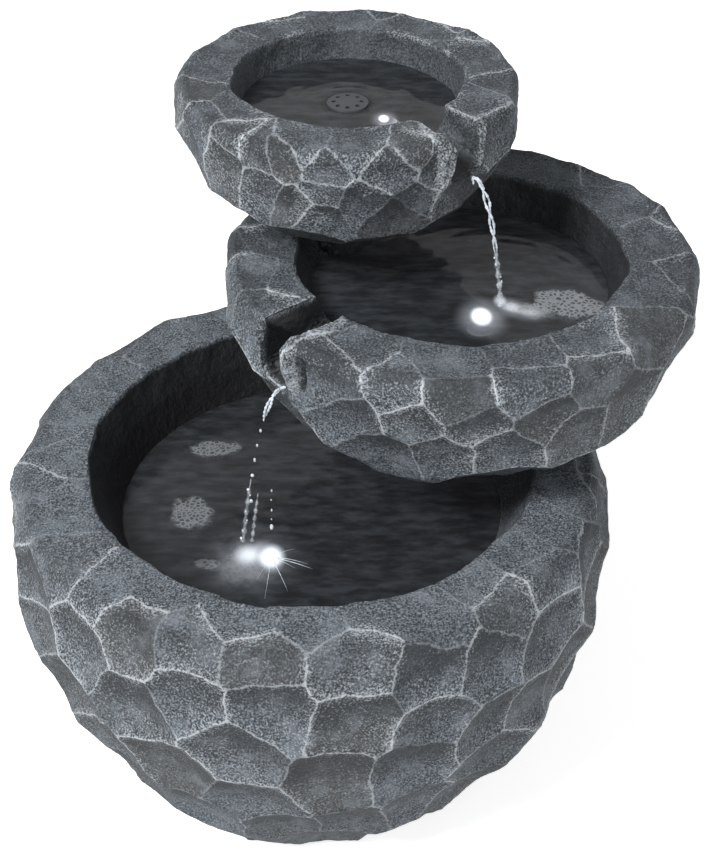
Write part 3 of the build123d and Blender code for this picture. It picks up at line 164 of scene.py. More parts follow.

# %% [markdown]
# ## Where the chisel struck
# The carver's scoops are irregular, each about a hand's breadth across, and they meet in crisp ridges.
# Each scoop is given by its centre: a bearing round the bowl and a distance down the skin from the mouth.
# The sides that are seen first are set out one by one, and rows fill in the rest. On the lower bowl these
# are the CAD model's own chisel flats. A third value cuts a scoop deeper.

# %% Scoop centres
SCOOPS = {
    "lower": [(116, 21), (135, 16), (150, 19), (164, 19), (173, 31), (182, 9), (193, 37), (201, 16),
              (193, 87), (217, 38), (210, 78), (227, 32), (237, 6), (226, 75), (237, 50), (250, 42),
              (257, 13), (262, 42), (272, 12), (279, 42), (284, 9), (296, 23), (293, 65), (279, 88),
              (250, 76), (264, 75), (258, 116), (245, 152), (259, 173), (221, 133), (228, 167), (212, 92),
              (239, 102), (275, 137), (289, 139), (293, 101), (304, 71), (308, 15), (319, 79), (338, 86),
              (325, 129), (305, 129), (306, 171), (293, 198), (278, 210), (314, 134), (358, 18),
              (344, 30), (358, 43), (349, 57), (334, 18), (337, 65), (321, 45), (324, 12), (310, 41),
              (303, 213), (266, 215), (246, 211), (232, 204), (90, 254)],
    "middle": [(173, 10), (194, 34), (200, 7), (212, 46, 5), (238, 21), (234, 60, 3), (240, 80, 2),
               (252, 52), (256, 74), (264, 19), (266, 50), (271, 73), (263, 99), (285, 12), (283, 43),
               (287, 72), (299, 49), (304, 14), (318, 39), (339, 14), (347, 43), (5, 21), (29, 13),
               (56, 25), (330, 77), (311, 77), (296, 86), (278, 95), (248, 105)],
    "upper": [(193, 29), (213, 39), (174, 12), (215, 11), (228, 36), (225, 56), (204, 58), (241, 42),
              (248, 41), (254, 23), (272, 21), (263, 45), (262, 61), (286, 47), (276, 70), (293, 69),
              (241, 65), (251, 73), (261, 84), (292, 36), (301, 49), (312, 72), (333, 16), (14, 14),
              (352, 31), (330, 47), (58, 19), (93, 17), (124, 19), (148, 20), (286, 83)],
}
JITTER = np.random.default_rng(7)
FIRST_ROW, ROW_STEP, ROOM = 16, 0.86, 0.74


def scoop_centres(bowl):
    """Set-out centres and rows of more where there is room, which lie on the rim, and extra depths."""
    centres = [bowl.on_skin(*scoop[:2]) for scoop in SCOOPS[bowl.name]]
    on_rim = [scoop[1] < 0.85 * (bowl.rim - bowl.mouth) for scoop in SCOOPS[bowl.name]]
    deeper = [sum(scoop[2:]) for scoop in SCOOPS[bowl.name]]
    levels = range(FIRST_ROW, int(bowl.lengths[-1]) - 8, round(ROW_STEP * bowl.spacing))
    for row, level in enumerate(levels):
        count = round(2 * math.pi * np.interp(level, bowl.lengths, bowl.radii) / bowl.spacing)
        for k in range(count):
            bearing = 360 / count * (k + row % 2 / 2 + 0.22 * math.sin(12.9898 * k + 78.233 * row))
            stray = 0.2 * bowl.spacing * math.sin(4.1414 * k + 2.236 * row + 1)
            place = bowl.on_skin(bearing, level + stray)
            near = [math.dist(place, c) for c, rim in zip(centres, on_rim) if row == 0 or not rim]
            if min(near) > ROOM * bowl.spacing:
                centres.append(place)
                on_rim.append(row == 0)
                deeper.append(0)
    return np.array(centres), np.array(on_rim), np.array(deeper)


# %% [markdown]
# ## Carving
# A copy of the CAD casting is remeshed to even small quads, so that it can be shaped like clay. Each
# point is pushed along its normal by the nearest scoop: a shallow dish that rises with the square of the
# distance from its centre, so two neighbours meet in a crisp ridge. Points beside a ridge are first slid
# onto it, which keeps the ridge a clean line. The distance to the ridge is stored on the mesh, for the
# dry-brushed paint that the finish puts there.

# %% Carving tools
SCOOP_CURVE = 140.0
SCOOP_CAP = 9.0
SCOOP_MEAN = 2.4
RIM_SHARE = 0.4
LIFT = 0.8
HIDDEN_SHARE = 0.12
WAVES = [(3.5, 26.0), (1.6, 9.0)]
ROUGH, ROUGH_SIZE = 0.5, 7.0
FULLER = [0, 0.2, 0.5, 0.75, 0.92, 1], [-1, -2.5, -2.5, 0, 2.5, 2.5]
MOUTH_WAVE = 3.0
FAR = 20.0
SMOOTH_ANGLE = 16.0
RIM_TONE = 0.35
RIM_ROUND = 9.0
INLET_Z, INLET_ROOM = 35.0, 16.0
# bearing, width and drop of each spout, and its rolled lip along, across and up, with radii
SPOUTS = {"middle": (218, 28, 28), "upper": (-48, 30, 21)}
LIPS = {
    "middle": ([(112, 20, 116), (128, 19.5, 117), (142, 18.5, 116.5), (149.5, 17.5, 110), (150.5, 17, 99),
                (148, 16.5, 87), (143, 16, 76)], [2.5, 3.5, 5, 5.5, 5, 4, 2.5]),
    "upper": ([(80, -27, 91), (92, -22, 91), (101, -18.5, 90), (106.5, -17.5, 84), (107, -17, 74),
               (104, -17, 62), (99, -17, 52)], [2.5, 4, 5.5, 6, 5.5, 4.5, 2.5]),
}
GROOVE, GROOVE_DEPTH, GROOVE_WIDTH = [(148, 27, 110), (150, 25.5, 98), (148, 24.5, 86)], 5.0, 3.2
# how light each rim is drawn: its place in the scoops' painted shade, from -1, darkest, to 1
RIM_LIE = {"lower": 0.65, "middle": 0.05, "upper": 0.0}
# what stands on a rim: its place and radius
GUESTS = {"lower": (MIDDLE.place, MIDDLE.base), "middle": (UPPER.place, UPPER.base + 4)}


def ease(low, high, x):
    """Smooth step from 0 at low to 1 at high."""
    t = np.clip((x - low) / (high - low), 0, 1)
    return t * t * (3 - 2 * t)


def wander(points, size, seed):
    """Smooth noise from -1 to 1 in three directions, with features of a size in millimetres."""
    start = Vector((13.7 * seed, 5.1 * seed, -7.3 * seed))
    return np.array([noise.noise_vector(Vector(p) / size + start) for p in points])


def waver(points):
    """How far the ridges stray from straight lines."""
    return sum(reach * wander(points, size, 1 + k) for k, (reach, size) in enumerate(WAVES))


def nearest_scoops(points, centres, lifts):
    """Height of the scoops at points, the two nearest of them, and the way and distance to their ridge."""
    height, gap = np.zeros(len(points)), np.zeros(len(points))
    pair = np.zeros((len(points), 2), int)
    way = np.zeros((len(points), 3))
    for part in np.array_split(np.arange(len(points)), 1 + len(points) // 20000):
        reach = ((points[part, None] - centres[None]) ** 2).sum(2) / SCOOP_CURVE + lifts
        two = np.argpartition(reach, 1, axis=1)[:, :2]
        values = np.take_along_axis(reach, two, 1)
        two = np.take_along_axis(two, values.argsort(1), 1)
        values.sort(1)
        apart = centres[two[:, 1]] - centres[two[:, 0]]
        span = np.linalg.norm(apart, axis=1)
        height[part], pair[part] = values[:, 0], two
        gap[part] = (values[:, 1] - values[:, 0]) * SCOOP_CURVE / (2 * span)
        way[part] = apart / span[:, None]
    return height, pair, way, gap


def coordinates(mesh):
    """A mesh's points as an array, in metres."""
    points = np.empty(3 * len(mesh.vertices))
    mesh.vertices.foreach_get("co", points)
    return points.reshape(-1, 3)


def tube(line, radii):
    """A round tube along points in millimetres, as a new selected mesh object."""
    curve = bpy.data.curves.new("tube", "CURVE")
    curve.dimensions = "3D"
    curve.bevel_depth = MM
    curve.bevel_resolution = 2
    curve.use_fill_caps = True
    spline = curve.splines.new("POLY")
    spline.points.add(len(line) - 1)
    for point, place, radius in zip(spline.points, line, radii):
        point.co = (*[c * MM for c in place], 1)
        point.radius = radius
    made = bpy.data.objects.new("tube", curve)
    bpy.context.scene.collection.objects.link(made)
    bpy.ops.object.select_all(action="DESELECT")
    made.select_set(True)
    bpy.context.view_layer.objects.active = made
    bpy.ops.object.convert(target="MESH")
    return bpy.context.object


def join(name, parts):
    """Joins mesh objects to one piece."""
    bpy.ops.object.select_all(action="DESELECT")
    for part in parts:
        part.select_set(True)
    bpy.context.view_layer.objects.active = parts[0]
    if len(parts) > 1:
        bpy.ops.object.join()
    parts[0].name = name
    return parts[0]


def spout_frame(bowl, line):
    """Points given along and across a bowl's spout, and up from its underside, in the shared frame."""
    turn = math.radians(SPOUTS[bowl.name][0])
    along, across = np.array((math.cos(turn), math.sin(turn))), np.array((-math.sin(turn), math.cos(turn)))
    return np.array([[*(bowl.place + a * along + c * across), bowl.seat + rise] for a, c, rise in line])


def to_line(points, line):
    """Distance of points to a line through several places, and how far along it the nearest place is."""
    best, where = np.full(len(points), 1e9), np.zeros(len(points))
    for k in range(len(line) - 1):
        step = line[k + 1] - line[k]
        share = np.clip((points - line[k]) @ step / (step @ step), 0, 1)
        away = np.linalg.norm(points - line[k] - share[:, None] * step, axis=1)
        where = np.where(away < best, k + share, where)
        best = np.minimum(best, away)
    return best, where


def casting_copy(bowl):
    """An even quad mesh of a CAD casting and its rolled spout lip, as a new object at the origin."""
    bpy.ops.object.select_all(action="DESELECT")
    mesh = NODES[bowl.name + "_bowl"].data.copy()
    mesh.materials.clear()
    piece = bpy.data.objects.new(bowl.name + "_bowl_carved", mesh)
    bpy.context.scene.collection.objects.link(piece)
    bpy.context.view_layer.objects.active = piece
    piece.select_set(True)
    bpy.ops.object.mode_set(mode="EDIT")
    bpy.ops.mesh.select_all(action="SELECT")
    bpy.ops.mesh.remove_doubles(threshold=0.00001)
    bpy.ops.object.mode_set(mode="OBJECT")
    if bowl.name in LIPS:
        places, radii = LIPS[bowl.name]
        join(piece.name, [piece, tube(spout_frame(bowl, places), radii)])
    mesh.remesh_voxel_size = bowl.voxel * MM
    bpy.ops.object.voxel_remesh()
    return piece


def thin_inside(piece, bowl):
    """Thins the mesh of the hollow shell's inner skin, which no one sees."""
    points = coordinates(piece.data) / MM
    radius = np.hypot(*(points[:, :2] - bowl.place).T)
    rise = points[:, 2] - bowl.seat
    wall = (radius - bowl.flank(rise) < -5) & (rise < bowl.height - 5)
    hidden = wall & ((radius > bowl.basin(points[:, 2]) + 5) | (points[:, 2] < bowl.rim_z - bowl.depth - 5))
    group = piece.vertex_groups.new(name="hidden")
    group.add(np.flatnonzero(hidden).tolist(), 1.0, "REPLACE")
    bpy.ops.object.modifier_add(type="DECIMATE")
    thin = piece.modifiers[0]
    thin.vertex_group = group.name
    thin.vertex_group_factor = 1000
    thin.ratio = 1 - hidden.mean() * (1 - HIDDEN_SHARE)
    bpy.ops.object.modifier_apply(modifier=thin.name)
    piece.vertex_groups.clear()
    print(piece.name, "inner skin", round(100 * hidden.mean()), "% of points, now",
          len(piece.data.polygons), "faces")


def turn_smooth(piece, bowl):
    """Turns a casting's flats back to its round skin, with a rounded rim, for the finer carving."""
    points = coordinates(piece.data) / MM
    plan = points[:, :2] - bowl.place
    radius = np.hypot(*plan.T)
    rise = points[:, 2] - bowl.seat
    flank = bowl.flank(rise)
    clear = (points[:, 1] < 0) | (np.hypot(points[:, 0], points[:, 2] - INLET_Z) > INLET_ROOM)
    outside = (radius > flank - 6) & (rise > 0.5) & clear
    round_skin = np.where(rise > bowl.height - 2, np.minimum(radius, bowl.rim), flank)
    turned = np.where(outside, round_skin, radius)
    back, below = flank - turned, bowl.height - rise
    corner = (back < RIM_ROUND) & (below < RIM_ROUND) & (np.minimum(back, below) < 3) & (below > -1)
    reach = np.hypot(RIM_ROUND - back, RIM_ROUND - below)
    share = np.where(corner, RIM_ROUND / np.maximum(reach, 0.1), 1)
    turned = flank - (RIM_ROUND - (RIM_ROUND - back) * share)
    points[:, 2] = bowl.seat + bowl.height - (RIM_ROUND - (RIM_ROUND - below) * share)
    points[:, :2] = bowl.place + plan * (turned / np.maximum(radius, 1))[:, None]
    piece.data.vertices.foreach_set("co", (points * MM).ravel())
    piece.data.update()


def carve(piece, bowl):
    """Pushes the outer skin of a casting into scoops and stores what its finish needs."""
    mesh = piece.data
    points = coordinates(mesh) / MM
    normals = np.empty(points.size)
    mesh.vertex_normals.foreach_get("vector", normals)
    normals = normals.reshape(-1, 3)
    edges = np.empty(2 * len(mesh.edges), int)
    mesh.edges.foreach_get("vertices", edges)
    edges = edges.reshape(-1, 2)

    plan = points[:, :2] - bowl.place
    radius = np.hypot(*plan.T)
    rise = points[:, 2] - bowl.seat
    skin = radius - bowl.flank(rise)
    outer = ease(-6.5, -3.5, skin) * ease(1, 7, rise)
    top = ease(-6, -3, rise - bowl.height) * ease(0.5, 9, radius - bowl.mouth)
    chiselled = np.maximum(outer, top)
    if bowl is LOWER:
        inlet = np.hypot(points[:, 0], points[:, 2] - INLET_Z) - INLET_ROOM
        chiselled *= np.where(points[:, 1] > 0, ease(0, 6, inlet), 1)
    if bowl.name in GUESTS:
        place, base = GUESTS[bowl.name]
        away = np.hypot(*(points[:, :2] - place).T) - base
        chiselled *= np.where(rise > bowl.height - 12, ease(0, 12, away), 1)
    on_top = ease(-5, -1, rise - bowl.height) * ease(0, 8, bowl.rim - radius)

    # depth inside the basin or a spout, negative on the rim outside
    inside = np.where(rise > bowl.height - 2.5, bowl.mouth - radius, bowl.height - rise)
    inside = np.where(radius > bowl.basin(points[:, 2]) + 4, np.minimum(inside, -3), inside)
    if bowl.name in SPOUTS:
        bearing, width, drop = SPOUTS[bowl.name]
        turn = math.radians(bearing)
        along = plan @ (math.cos(turn), math.sin(turn))
        across = np.abs(plan @ (-math.sin(turn), math.cos(turn)))
        in_spout = (across < width / 2 + 1.6) & (along > bowl.mouth - 14) & (rise > bowl.height - drop - 14)
        spout_depth = np.minimum(bowl.height - rise - 1.5, bowl.belly - 3 - along)
        inside = np.where(in_spout, np.maximum(inside, spout_depth), inside)
        chiselled *= np.where(in_spout & (rise < bowl.height - 3), 0, 1)
        brink = np.hypot(across - width / 2, np.maximum(bowl.height - rise, 0))
        brink = np.where((along > bowl.mouth - 4) & (rise > bowl.height - drop), brink, FAR)

    # painted light: high on the lower basin's right wall, which faces the light, the stone is drawn only
    # partly wet, and so lighter
    if bowl is LOWER:
        east = np.abs(np.degrees(np.arctan2(plan[:, 1], plan[:, 0])) + 8)
        dry_and_painted_light = np.where((inside > 0) & (rise > bowl.height - 70), ease(42, 18, east), 0)
        inside = inside * (1 - dry_and_painted_light) + np.minimum(inside, 1.6) * dry_and_painted_light

    centres, on_rim, deeper = scoop_centres(bowl)
    lifts = -JITTER.uniform(0, LIFT, len(centres)) - deeper
    tones = JITTER.uniform(0, 1, len(centres))
    loads = JITTER.uniform(0.08, 1, (len(centres), len(centres)))
    warp = waver(points)
    height, pair, way, gap = nearest_scoops(points + warp, centres, lifts)
    a, b = edges.T
    crossing = (pair[a, 0] != pair[b, 0]) & (np.minimum(chiselled[a], chiselled[b]) > 0.02)
    nearer = np.where(gap[a] < gap[b], a, b)[crossing]
    on_ridge = np.zeros(len(points), bool)
    on_ridge[nearer] = True
    for _ in range(3):
        tangent = way - normals * (way * normals).sum(1)[:, None]
        steep = np.maximum((way * tangent).sum(1), 0.35)
        step = np.clip(gap / steep, 0, bowl.voxel)[:, None] * tangent
        points[on_ridge] += step[on_ridge]
        warp[on_ridge] = waver(points[on_ridge])
        height, pair, way, gap = nearest_scoops(points + warp, centres, lifts)
    dish = np.minimum(height, SCOOP_CAP) - SCOOP_MEAN
    dish *= 1 - (1 - RIM_SHARE) * np.maximum(on_top, 0.7 * ease(-20, -4, rise - bowl.height))
    grit = wander(points, ROUGH_SIZE, 5)[:, 0] + 0.6 * wander(points, 0.45 * ROUGH_SIZE, 6)[:, 0]
    push = chiselled * dish + ROUGH * grit * (0.25 + 0.75 * chiselled)
    push += outer * np.interp(rise / bowl.height, *FULLER)
    if bowl is MIDDLE:
        away_groove = to_line(points, spout_frame(bowl, GROOVE))[0]
        push -= GROOVE_DEPTH * ease(GROOVE_WIDTH, 0, away_groove)
    points += normals * push[:, None]
    uneven = MOUTH_WAVE * wander(points * (1, 1, 0.25), 32, 3)[:, 0]
    uneven += 0.4 * MOUTH_WAVE * wander(points, 11, 4)[:, 0]
    uneven *= ease(-45, -2, rise - bowl.height) * ease(10, 1, radius - bowl.mouth)
    points[:, :2] += plan / np.maximum(radius, 1)[:, None] * uneven[:, None]
    mesh.vertices.foreach_set("co", (points * MM).ravel())

    # each quad with a ridge from corner to corner is split along it
    work = bmesh.new()
    work.from_mesh(mesh)
    work.verts.ensure_lookup_table()
    for face in list(work.faces):
        marks = [bool(on_ridge[v.index]) for v in face.verts]
        if marks in ([True, False, True, False], [False, True, False, True]):
            k = 0 if marks[0] else 1
            bmesh.utils.face_split(face, face.verts[k], face.verts[k + 2])
    work.to_mesh(mesh)
    work.free()

    # how much paint the brush left: little between rim scoops and near the foot
    low, high = pair.min(1), pair.max(1)
    paint = loads[low, high] * np.where(on_rim[low] & on_rim[high], 0.3, 1)
    paint *= 0.35 + 0.65 * ease(0.15, 0.5, rise / bowl.height)
    ridge = np.where(chiselled > 0.02, np.where(on_ridge, 0, gap), FAR)
    if bowl.name in SPOUTS:
        paint = np.where(brink < np.minimum(ridge, 10), 0.8, paint)
        ridge = np.minimum(ridge, brink)
        places, radii = LIPS[bowl.name]
        away, where = to_line(points, spout_frame(bowl, places))
        away -= np.interp(where, range(len(radii)), radii)
        paint = np.where(away < 2, 0.9, paint)
        ridge = np.minimum(ridge, np.maximum(away, 0) + 0.8)
        inside = np.where(away < 1.5, -4, inside)

    # where in its scoop a point lies, for the painted shade: -1 at the upper edge, darkest, 1 at the lower,
    # and the same all over the rim
    lie = np.clip((centres[pair[:, 0], 2] - points[:, 2]) / (0.4 * bowl.spacing), -1, 1)
    lie = lie * (1 - on_top) + RIM_LIE[bowl.name] * on_top
    # painted shade: the middle bowl's groove is drawn darker
    if bowl is MIDDLE:
        lie -= 2 * ease(GROOVE_WIDTH, 1, away_groove)
    for name, values in (("ridge", ridge), ("inside", inside), ("paint", paint), ("lie", lie)):
        layer = mesh.attributes.new(name, "FLOAT", "POINT")
        layer.data.foreach_set("value", values.astype(np.float32))
    tone = mesh.attributes.new("tone", "FLOAT", "FACE")
    for face, value in zip(mesh.polygons, tone.data):
        middle = max(face.vertices, key=lambda v: ridge[v])
        value.value = RIM_TONE if on_rim[pair[middle, 0]] else tones[pair[middle, 0]]
    bpy.ops.object.select_all(action="DESELECT")
    piece.select_set(True)
    bpy.context.view_layer.objects.active = piece
    bpy.ops.object.shade_smooth_by_angle(angle=math.radians(SMOOTH_ANGLE))
    print(piece.name, len(mesh.polygons), "faces,", len(centres), "scoops")


# %% Carve the three castings
carved = {}
for bowl in BOWLS:
    carved[bowl.name] = casting_copy(bowl)
    thin_inside(carved[bowl.name], bowl)
    if bowl is LOWER:
        turn_smooth(carved[bowl.name], bowl)
    carve(carved[bowl.name], bowl)

# %% [markdown]
# ## Stone-filled polyresin
# The castings are polyester resin filled with stone dust, cast in a rubber mould and coloured by hand: a
# charcoal ground, a stippled grey coat that catches on the grain, and pale paint dry-brushed over the
# ridges. Inside the basins the ground is almost black and wet. The dust's real grain is about half a
# millimetre. It is drawn at 1.3 mm, because finer grain doesn't show in the picture.


# %% Cast stone finish
def cast_stone(bowl, wet_code, wet_share, edge_paint):
    """Painted stone-filled resin; wet colour, wetness and the paint on the mouth's edge differ by basin."""
    made, tree, shader, place = new_material("cast_stone_resin_" + bowl.name, IOR=1.5,
                                             Specular_IOR_Level=0.3)
    ridge, inside, tone, load, lie = (node(tree, "ShaderNodeAttribute", attribute_name=name).outputs["Fac"]
                                      for name in ("ridge", "inside", "tone", "paint", "lie"))
    grain = node(tree, "ShaderNodeTexNoise", {"Vector": place, "Scale": per_mm(1.3), "Detail": 3.0,
                                              "Roughness": 0.65}).outputs["Fac"]
    blotch = node(tree, "ShaderNodeTexNoise", {"Vector": place, "Scale": per_mm(22), "Detail": 4.0,
                                               "Roughness": 0.65}).outputs["Fac"]
    brush = node(tree, "ShaderNodeTexNoise",
                 {"Vector": place, "Scale": per_mm(1.5), "Detail": 2.0, "Roughness": 0.6, "W": 4.0},
                 noise_dimensions="4D").outputs["Fac"]

    stipple = node(tree, "ShaderNodeMapRange", {"Value": grain, "From Min": 0.39, "From Max": 0.65},
                   interpolation_type="SMOOTHSTEP").outputs[0]
    ground = node(tree, "ShaderNodeMix", {0: stipple, 6: linear("#2a2d31"), 7: linear("#788087")},
                  data_type="RGBA").outputs[2]
    shade = node(tree, "ShaderNodeMapRange", {"Value": tone, "From Min": 0.4, "To Max": 0.55}).outputs[0]
    toned = node(tree, "ShaderNodeMix", {0: shade, 6: ground, 7: linear("#44423f")},
                 data_type="RGBA").outputs[2]
    cloud = node(tree, "ShaderNodeMapRange",
                 {"Value": blotch, "From Min": 0.45, "From Max": 0.7, "To Max": 0.5},
                 interpolation_type="SMOOTHSTEP").outputs[0]
    mottled = node(tree, "ShaderNodeMix", {0: cloud, 6: toned, 7: linear("#767d84")},
                   data_type="RGBA").outputs[2]

    # painted shade: the upper part of each scoop is darker, as if light from above left it in shade, in
    # blotches
    patchy = node(tree, "ShaderNodeMath", {0: blotch, 1: 1.6, 2: lie}, operation="MULTIPLY_ADD").outputs[0]
    painted_shade = node(tree, "ShaderNodeMapRange",
                {"Value": patchy, "From Min": 1.6, "From Max": 0.0, "To Max": 0.84},
                interpolation_type="SMOOTHSTEP").outputs[0]
    mottled = node(tree, "ShaderNodeMix", {0: painted_shade, 6: mottled, 7: linear("#2b2e31")},
                   data_type="RGBA").outputs[2]

    # the pale paint is a thin, ragged line on the crest, with loose grains beside it
    lip = node(tree, "ShaderNodeMath", {0: inside}, operation="ABSOLUTE").outputs[0]
    thin_lip = node(tree, "ShaderNodeMath", {0: lip, 1: 3 - 3 * edge_paint}, operation="ADD").outputs[0]
    crest = node(tree, "ShaderNodeMath", {0: ridge, 1: thin_lip}, operation="MINIMUM").outputs[0]
    frayed = node(tree, "ShaderNodeMath", {0: brush, 1: -4.5, 2: crest},
                  operation="MULTIPLY_ADD").outputs[0]
    core = node(tree, "ShaderNodeMapRange", {"Value": frayed, "From Min": -1.25, "From Max": -2.1},
                interpolation_type="SMOOTHSTEP").outputs[0]
    core = node(tree, "ShaderNodeMath", {0: core, 1: load}, operation="MULTIPLY").outputs[0]
    near = node(tree, "ShaderNodeMapRange",
                {"Value": crest, "From Min": 12.0, "From Max": 0.0, "To Max": 0.25},
                interpolation_type="SMOOTHSTEP").outputs[0]
    dust = node(tree, "ShaderNodeMath", {0: near, 1: load, 2: grain}, operation="MULTIPLY_ADD").outputs[0]
    dust = node(tree, "ShaderNodeMapRange",
                {"Value": dust, "From Min": 0.62, "From Max": 0.84, "To Max": 0.5},
                interpolation_type="SMOOTHSTEP").outputs[0]
    paint = node(tree, "ShaderNodeMath", {0: core, 1: dust}, operation="MAXIMUM").outputs[0]
    dry_and_painted_light = node(tree, "ShaderNodeMix", {0: paint, 6: mottled, 7: linear("#b4babf")},
               data_type="RGBA").outputs[2]

    # the basin is wet from a ragged line below its mouth, and darkest under water
    edge = node(tree, "ShaderNodeMath", {0: brush, 1: 4.0, 2: -2.0}, operation="MULTIPLY_ADD").outputs[0]
    depth = node(tree, "ShaderNodeMath", {0: inside, 1: edge}, operation="ADD").outputs[0]
    wet = node(tree, "ShaderNodeMapRange",
               {"Value": depth, "From Min": 0.0, "From Max": 4.0, "To Max": wet_share},
               interpolation_type="SMOOTHSTEP").outputs[0]
    sunk = node(tree, "ShaderNodeMapRange",
                {"Value": inside, "From Min": 19.0, "From Max": 24.0}).outputs[0]
    wet = node(tree, "ShaderNodeMath", {0: wet, 1: sunk}, operation="MAXIMUM").outputs[0]
    colour = node(tree, "ShaderNodeMix", {0: wet, 6: dry_and_painted_light, 7: linear(wet_code)},
                  data_type="RGBA").outputs[2]
    gloss = node(tree, "ShaderNodeMapRange", {"Value": wet, "To Min": 0.85, "To Max": 0.5}).outputs[0]
    chips = node(tree, "ShaderNodeTexNoise",
                 {"Vector": place, "Scale": per_mm(5), "Detail": 3.0}).outputs["Fac"]
    pits = node(tree, "ShaderNodeBump", {"Height": chips, "Strength": 0.5, "Distance": 2.5 * MM}).outputs[0]
    bump = node(tree, "ShaderNodeBump", {"Height": grain, "Strength": 0.6, "Distance": 0.9 * MM,
                                         "Normal": pits}).outputs[0]
    for name, value in (("Base Color", colour), ("Roughness", gloss), ("Normal", bump)):
        tree.links.new(value, shader.inputs[name])
    return made


def mount(piece, finish, body="fountain"):
    """Gives a piece its finish and the body it moves with."""
    piece.data.materials.clear()
    piece.data.materials.append(finish)
    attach(piece, body)


# wet colour, wetness, and paint on the edge of the mouth
WET = {"lower": ("#121315", 0.96, 0.0), "middle": ("#1c1e20", 0.93, 0.35),
       "upper": ("#2a2d30", 0.6, 0.75)}
for bowl in BOWLS:
    mount(carved[bowl.name], cast_stone(bowl, *WET[bowl.name]))
    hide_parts(bowl.name + "_bowl")

# %% [markdown]
# ## Fittings
# Pump, lamps, hose, leads and screws keep their CAD shapes. Each gets the finish of its real material:
# moulded plastic has a fine spark-eroded grain, rubber is duller, turned steel has a fine bright grain,
# and the lamp lenses glow. The grain is drawn a little coarser than it is.


# %% Fittings' finishes
def moulded(name, code, roughness, grain_mm, depth_mm, **more):
    """Moulded plastic, rubber or ceramic: even colour that varies a little, and a fine grain."""
    made, tree, shader, place = new_material(name, **more)
    cloud = node(tree, "ShaderNodeTexNoise",
                 {"Vector": place, "Scale": per_mm(9), "Detail": 3.0}).outputs["Fac"]
    grain = node(tree, "ShaderNodeTexNoise",
                 {"Vector": place, "Scale": per_mm(grain_mm), "Detail": 2.0}).outputs["Fac"]
    light = [min(1, 1.35 * c) for c in linear(code)[:3]] + [1]
    colour = node(tree, "ShaderNodeMix", {0: cloud, 6: linear(code), 7: light},
                  data_type="RGBA").outputs[2]
    worn = node(tree, "ShaderNodeMapRange",
                {"Value": cloud, "To Min": roughness - 0.08, "To Max": roughness + 0.08}).outputs[0]
    bump = node(tree, "ShaderNodeBump",
                {"Height": grain, "Strength": 0.4, "Distance": depth_mm * MM}).outputs[0]
    for socket, value in (("Base Color", colour), ("Roughness", worn), ("Normal", bump)):
        tree.links.new(value, shader.inputs[socket])
    return made


FINISHES = {
    "black_plastic": moulded("abs_black", "#1b1b1d", 0.5, 0.8, 0.05),
    "charcoal_plastic": moulded("abs_charcoal", "#2e3135", 0.55, 0.8, 0.05),
    "black_rubber": moulded("epdm_rubber", "#181818", 0.75, 0.6, 0.04),
    "smoked_vinyl": moulded("pvc_hose_smoked", "#34383b", 0.3, 3.0, 0.03, Coat_Weight=0.3),
    "black_cable_sheath": moulded("pvc_cable_sheath", "#161616", 0.45, 1.2, 0.03),
    "stainless_steel": moulded("stainless_steel_turned", "#b9babc", 0.32, 0.4, 0.02, Metallic=1.0),
    "white_ceramic": moulded("alumina_ceramic", "#e6e3da", 0.25, 0.5, 0.01),
    "blue_plastic": moulded("abs_blue", "#26416f", 0.45, 0.8, 0.05),
    "white_board": moulded("fr4_board_white", "#dfe1e0", 0.4, 0.5, 0.02),
    "lamp_lens": moulded("polycarbonate_lens", "#f2f6ff", 0.2, 1.0, 0.02,
                         Emission_Color=linear("#f4f8ff"), Emission_Strength=1.6),
}
for entry in frame["record"]["subparts"]:
    finish = FINISHES.get(entry["material_slot"])
    for slot in NODES[entry["node"]].material_slots:
        slot.material = finish or slot.material
print(len(FINISHES), "finishes on the fittings")

# %% [markdown]
# ## Water in the basins
# Each pool is a thin sheet at its level, from wall to wall. Falling water sends rings over it, so the
# sheet is a fine grid, pushed up and down by rings round the place where water lands. Over a dark basin,
# water looks dark, and shows little but what it mirrors; its colour is lighter in streaks, a painted
# sheen, and the whole sheet has a faint painted glow. Near a lamp it lights up from below, which is a
# painted glow in the sheet.

# %% Pools
# level, cells across the sheet, and the rings: place, height and wave length
POOLS = {
    "lower": (194.5, 170, [(-44, -46, 0.22, 17), (-25, -57, 0.15, 13)]),
    "middle": (340.0, 140, [(126, 50, 0.16, 13)]),
    "upper": (441.8, 110, [(25, 108, 0.1, 11)]),
}
SHEET = 3.0
CAP_ROOM = 12.2
CLEAR_SPOT = (20, 20)
# painted glows: place, half width, half depth and strength; the last on the lower pool is broad and faint,
# over its left side
GLOWS = {
    "lower": [(-25.5, -57, 11.5, 15.5, 1.7), (-42.5, -55, 12, 14, 0.55), (-34, -53, 18, 16, 0.4),
              (-37, -60, 44, 44, 0.09), (-95, 5, 70, 100, 0.006)],
    "middle": [(110.5, 12, 9, 14, 3.2), (111, 11, 22, 30, 0.28), (124, 31, 6, 9, 0.6),
               (130, 23, 10, 10, 0.3), (141, 16, 14, 9, 0.16)],
    "upper": [(48, 86, 4.5, 7.5, 3.2), (48.5, 85.5, 12, 17, 0.25)],
}
# place, half width, half depth, turn, density, and how far light fills the lace
FOAMS = {
    "lower": [(-72, 58, 20, 10, 8, 0.4, 0.0), (-82, -13, 17, 17, 0, 0.4, 0.0),
              (-68, -63, 10, 6, 0, 0.22, 0.0), (-42, -64, 27, 23, 0, 0.3, 0.6)],
    "middle": [(168, 27, 25, 17, -20, 0.6, 0.0), (138, 21, 22, 11, -30, 0.7, 0.7)],
    "upper": [],
}


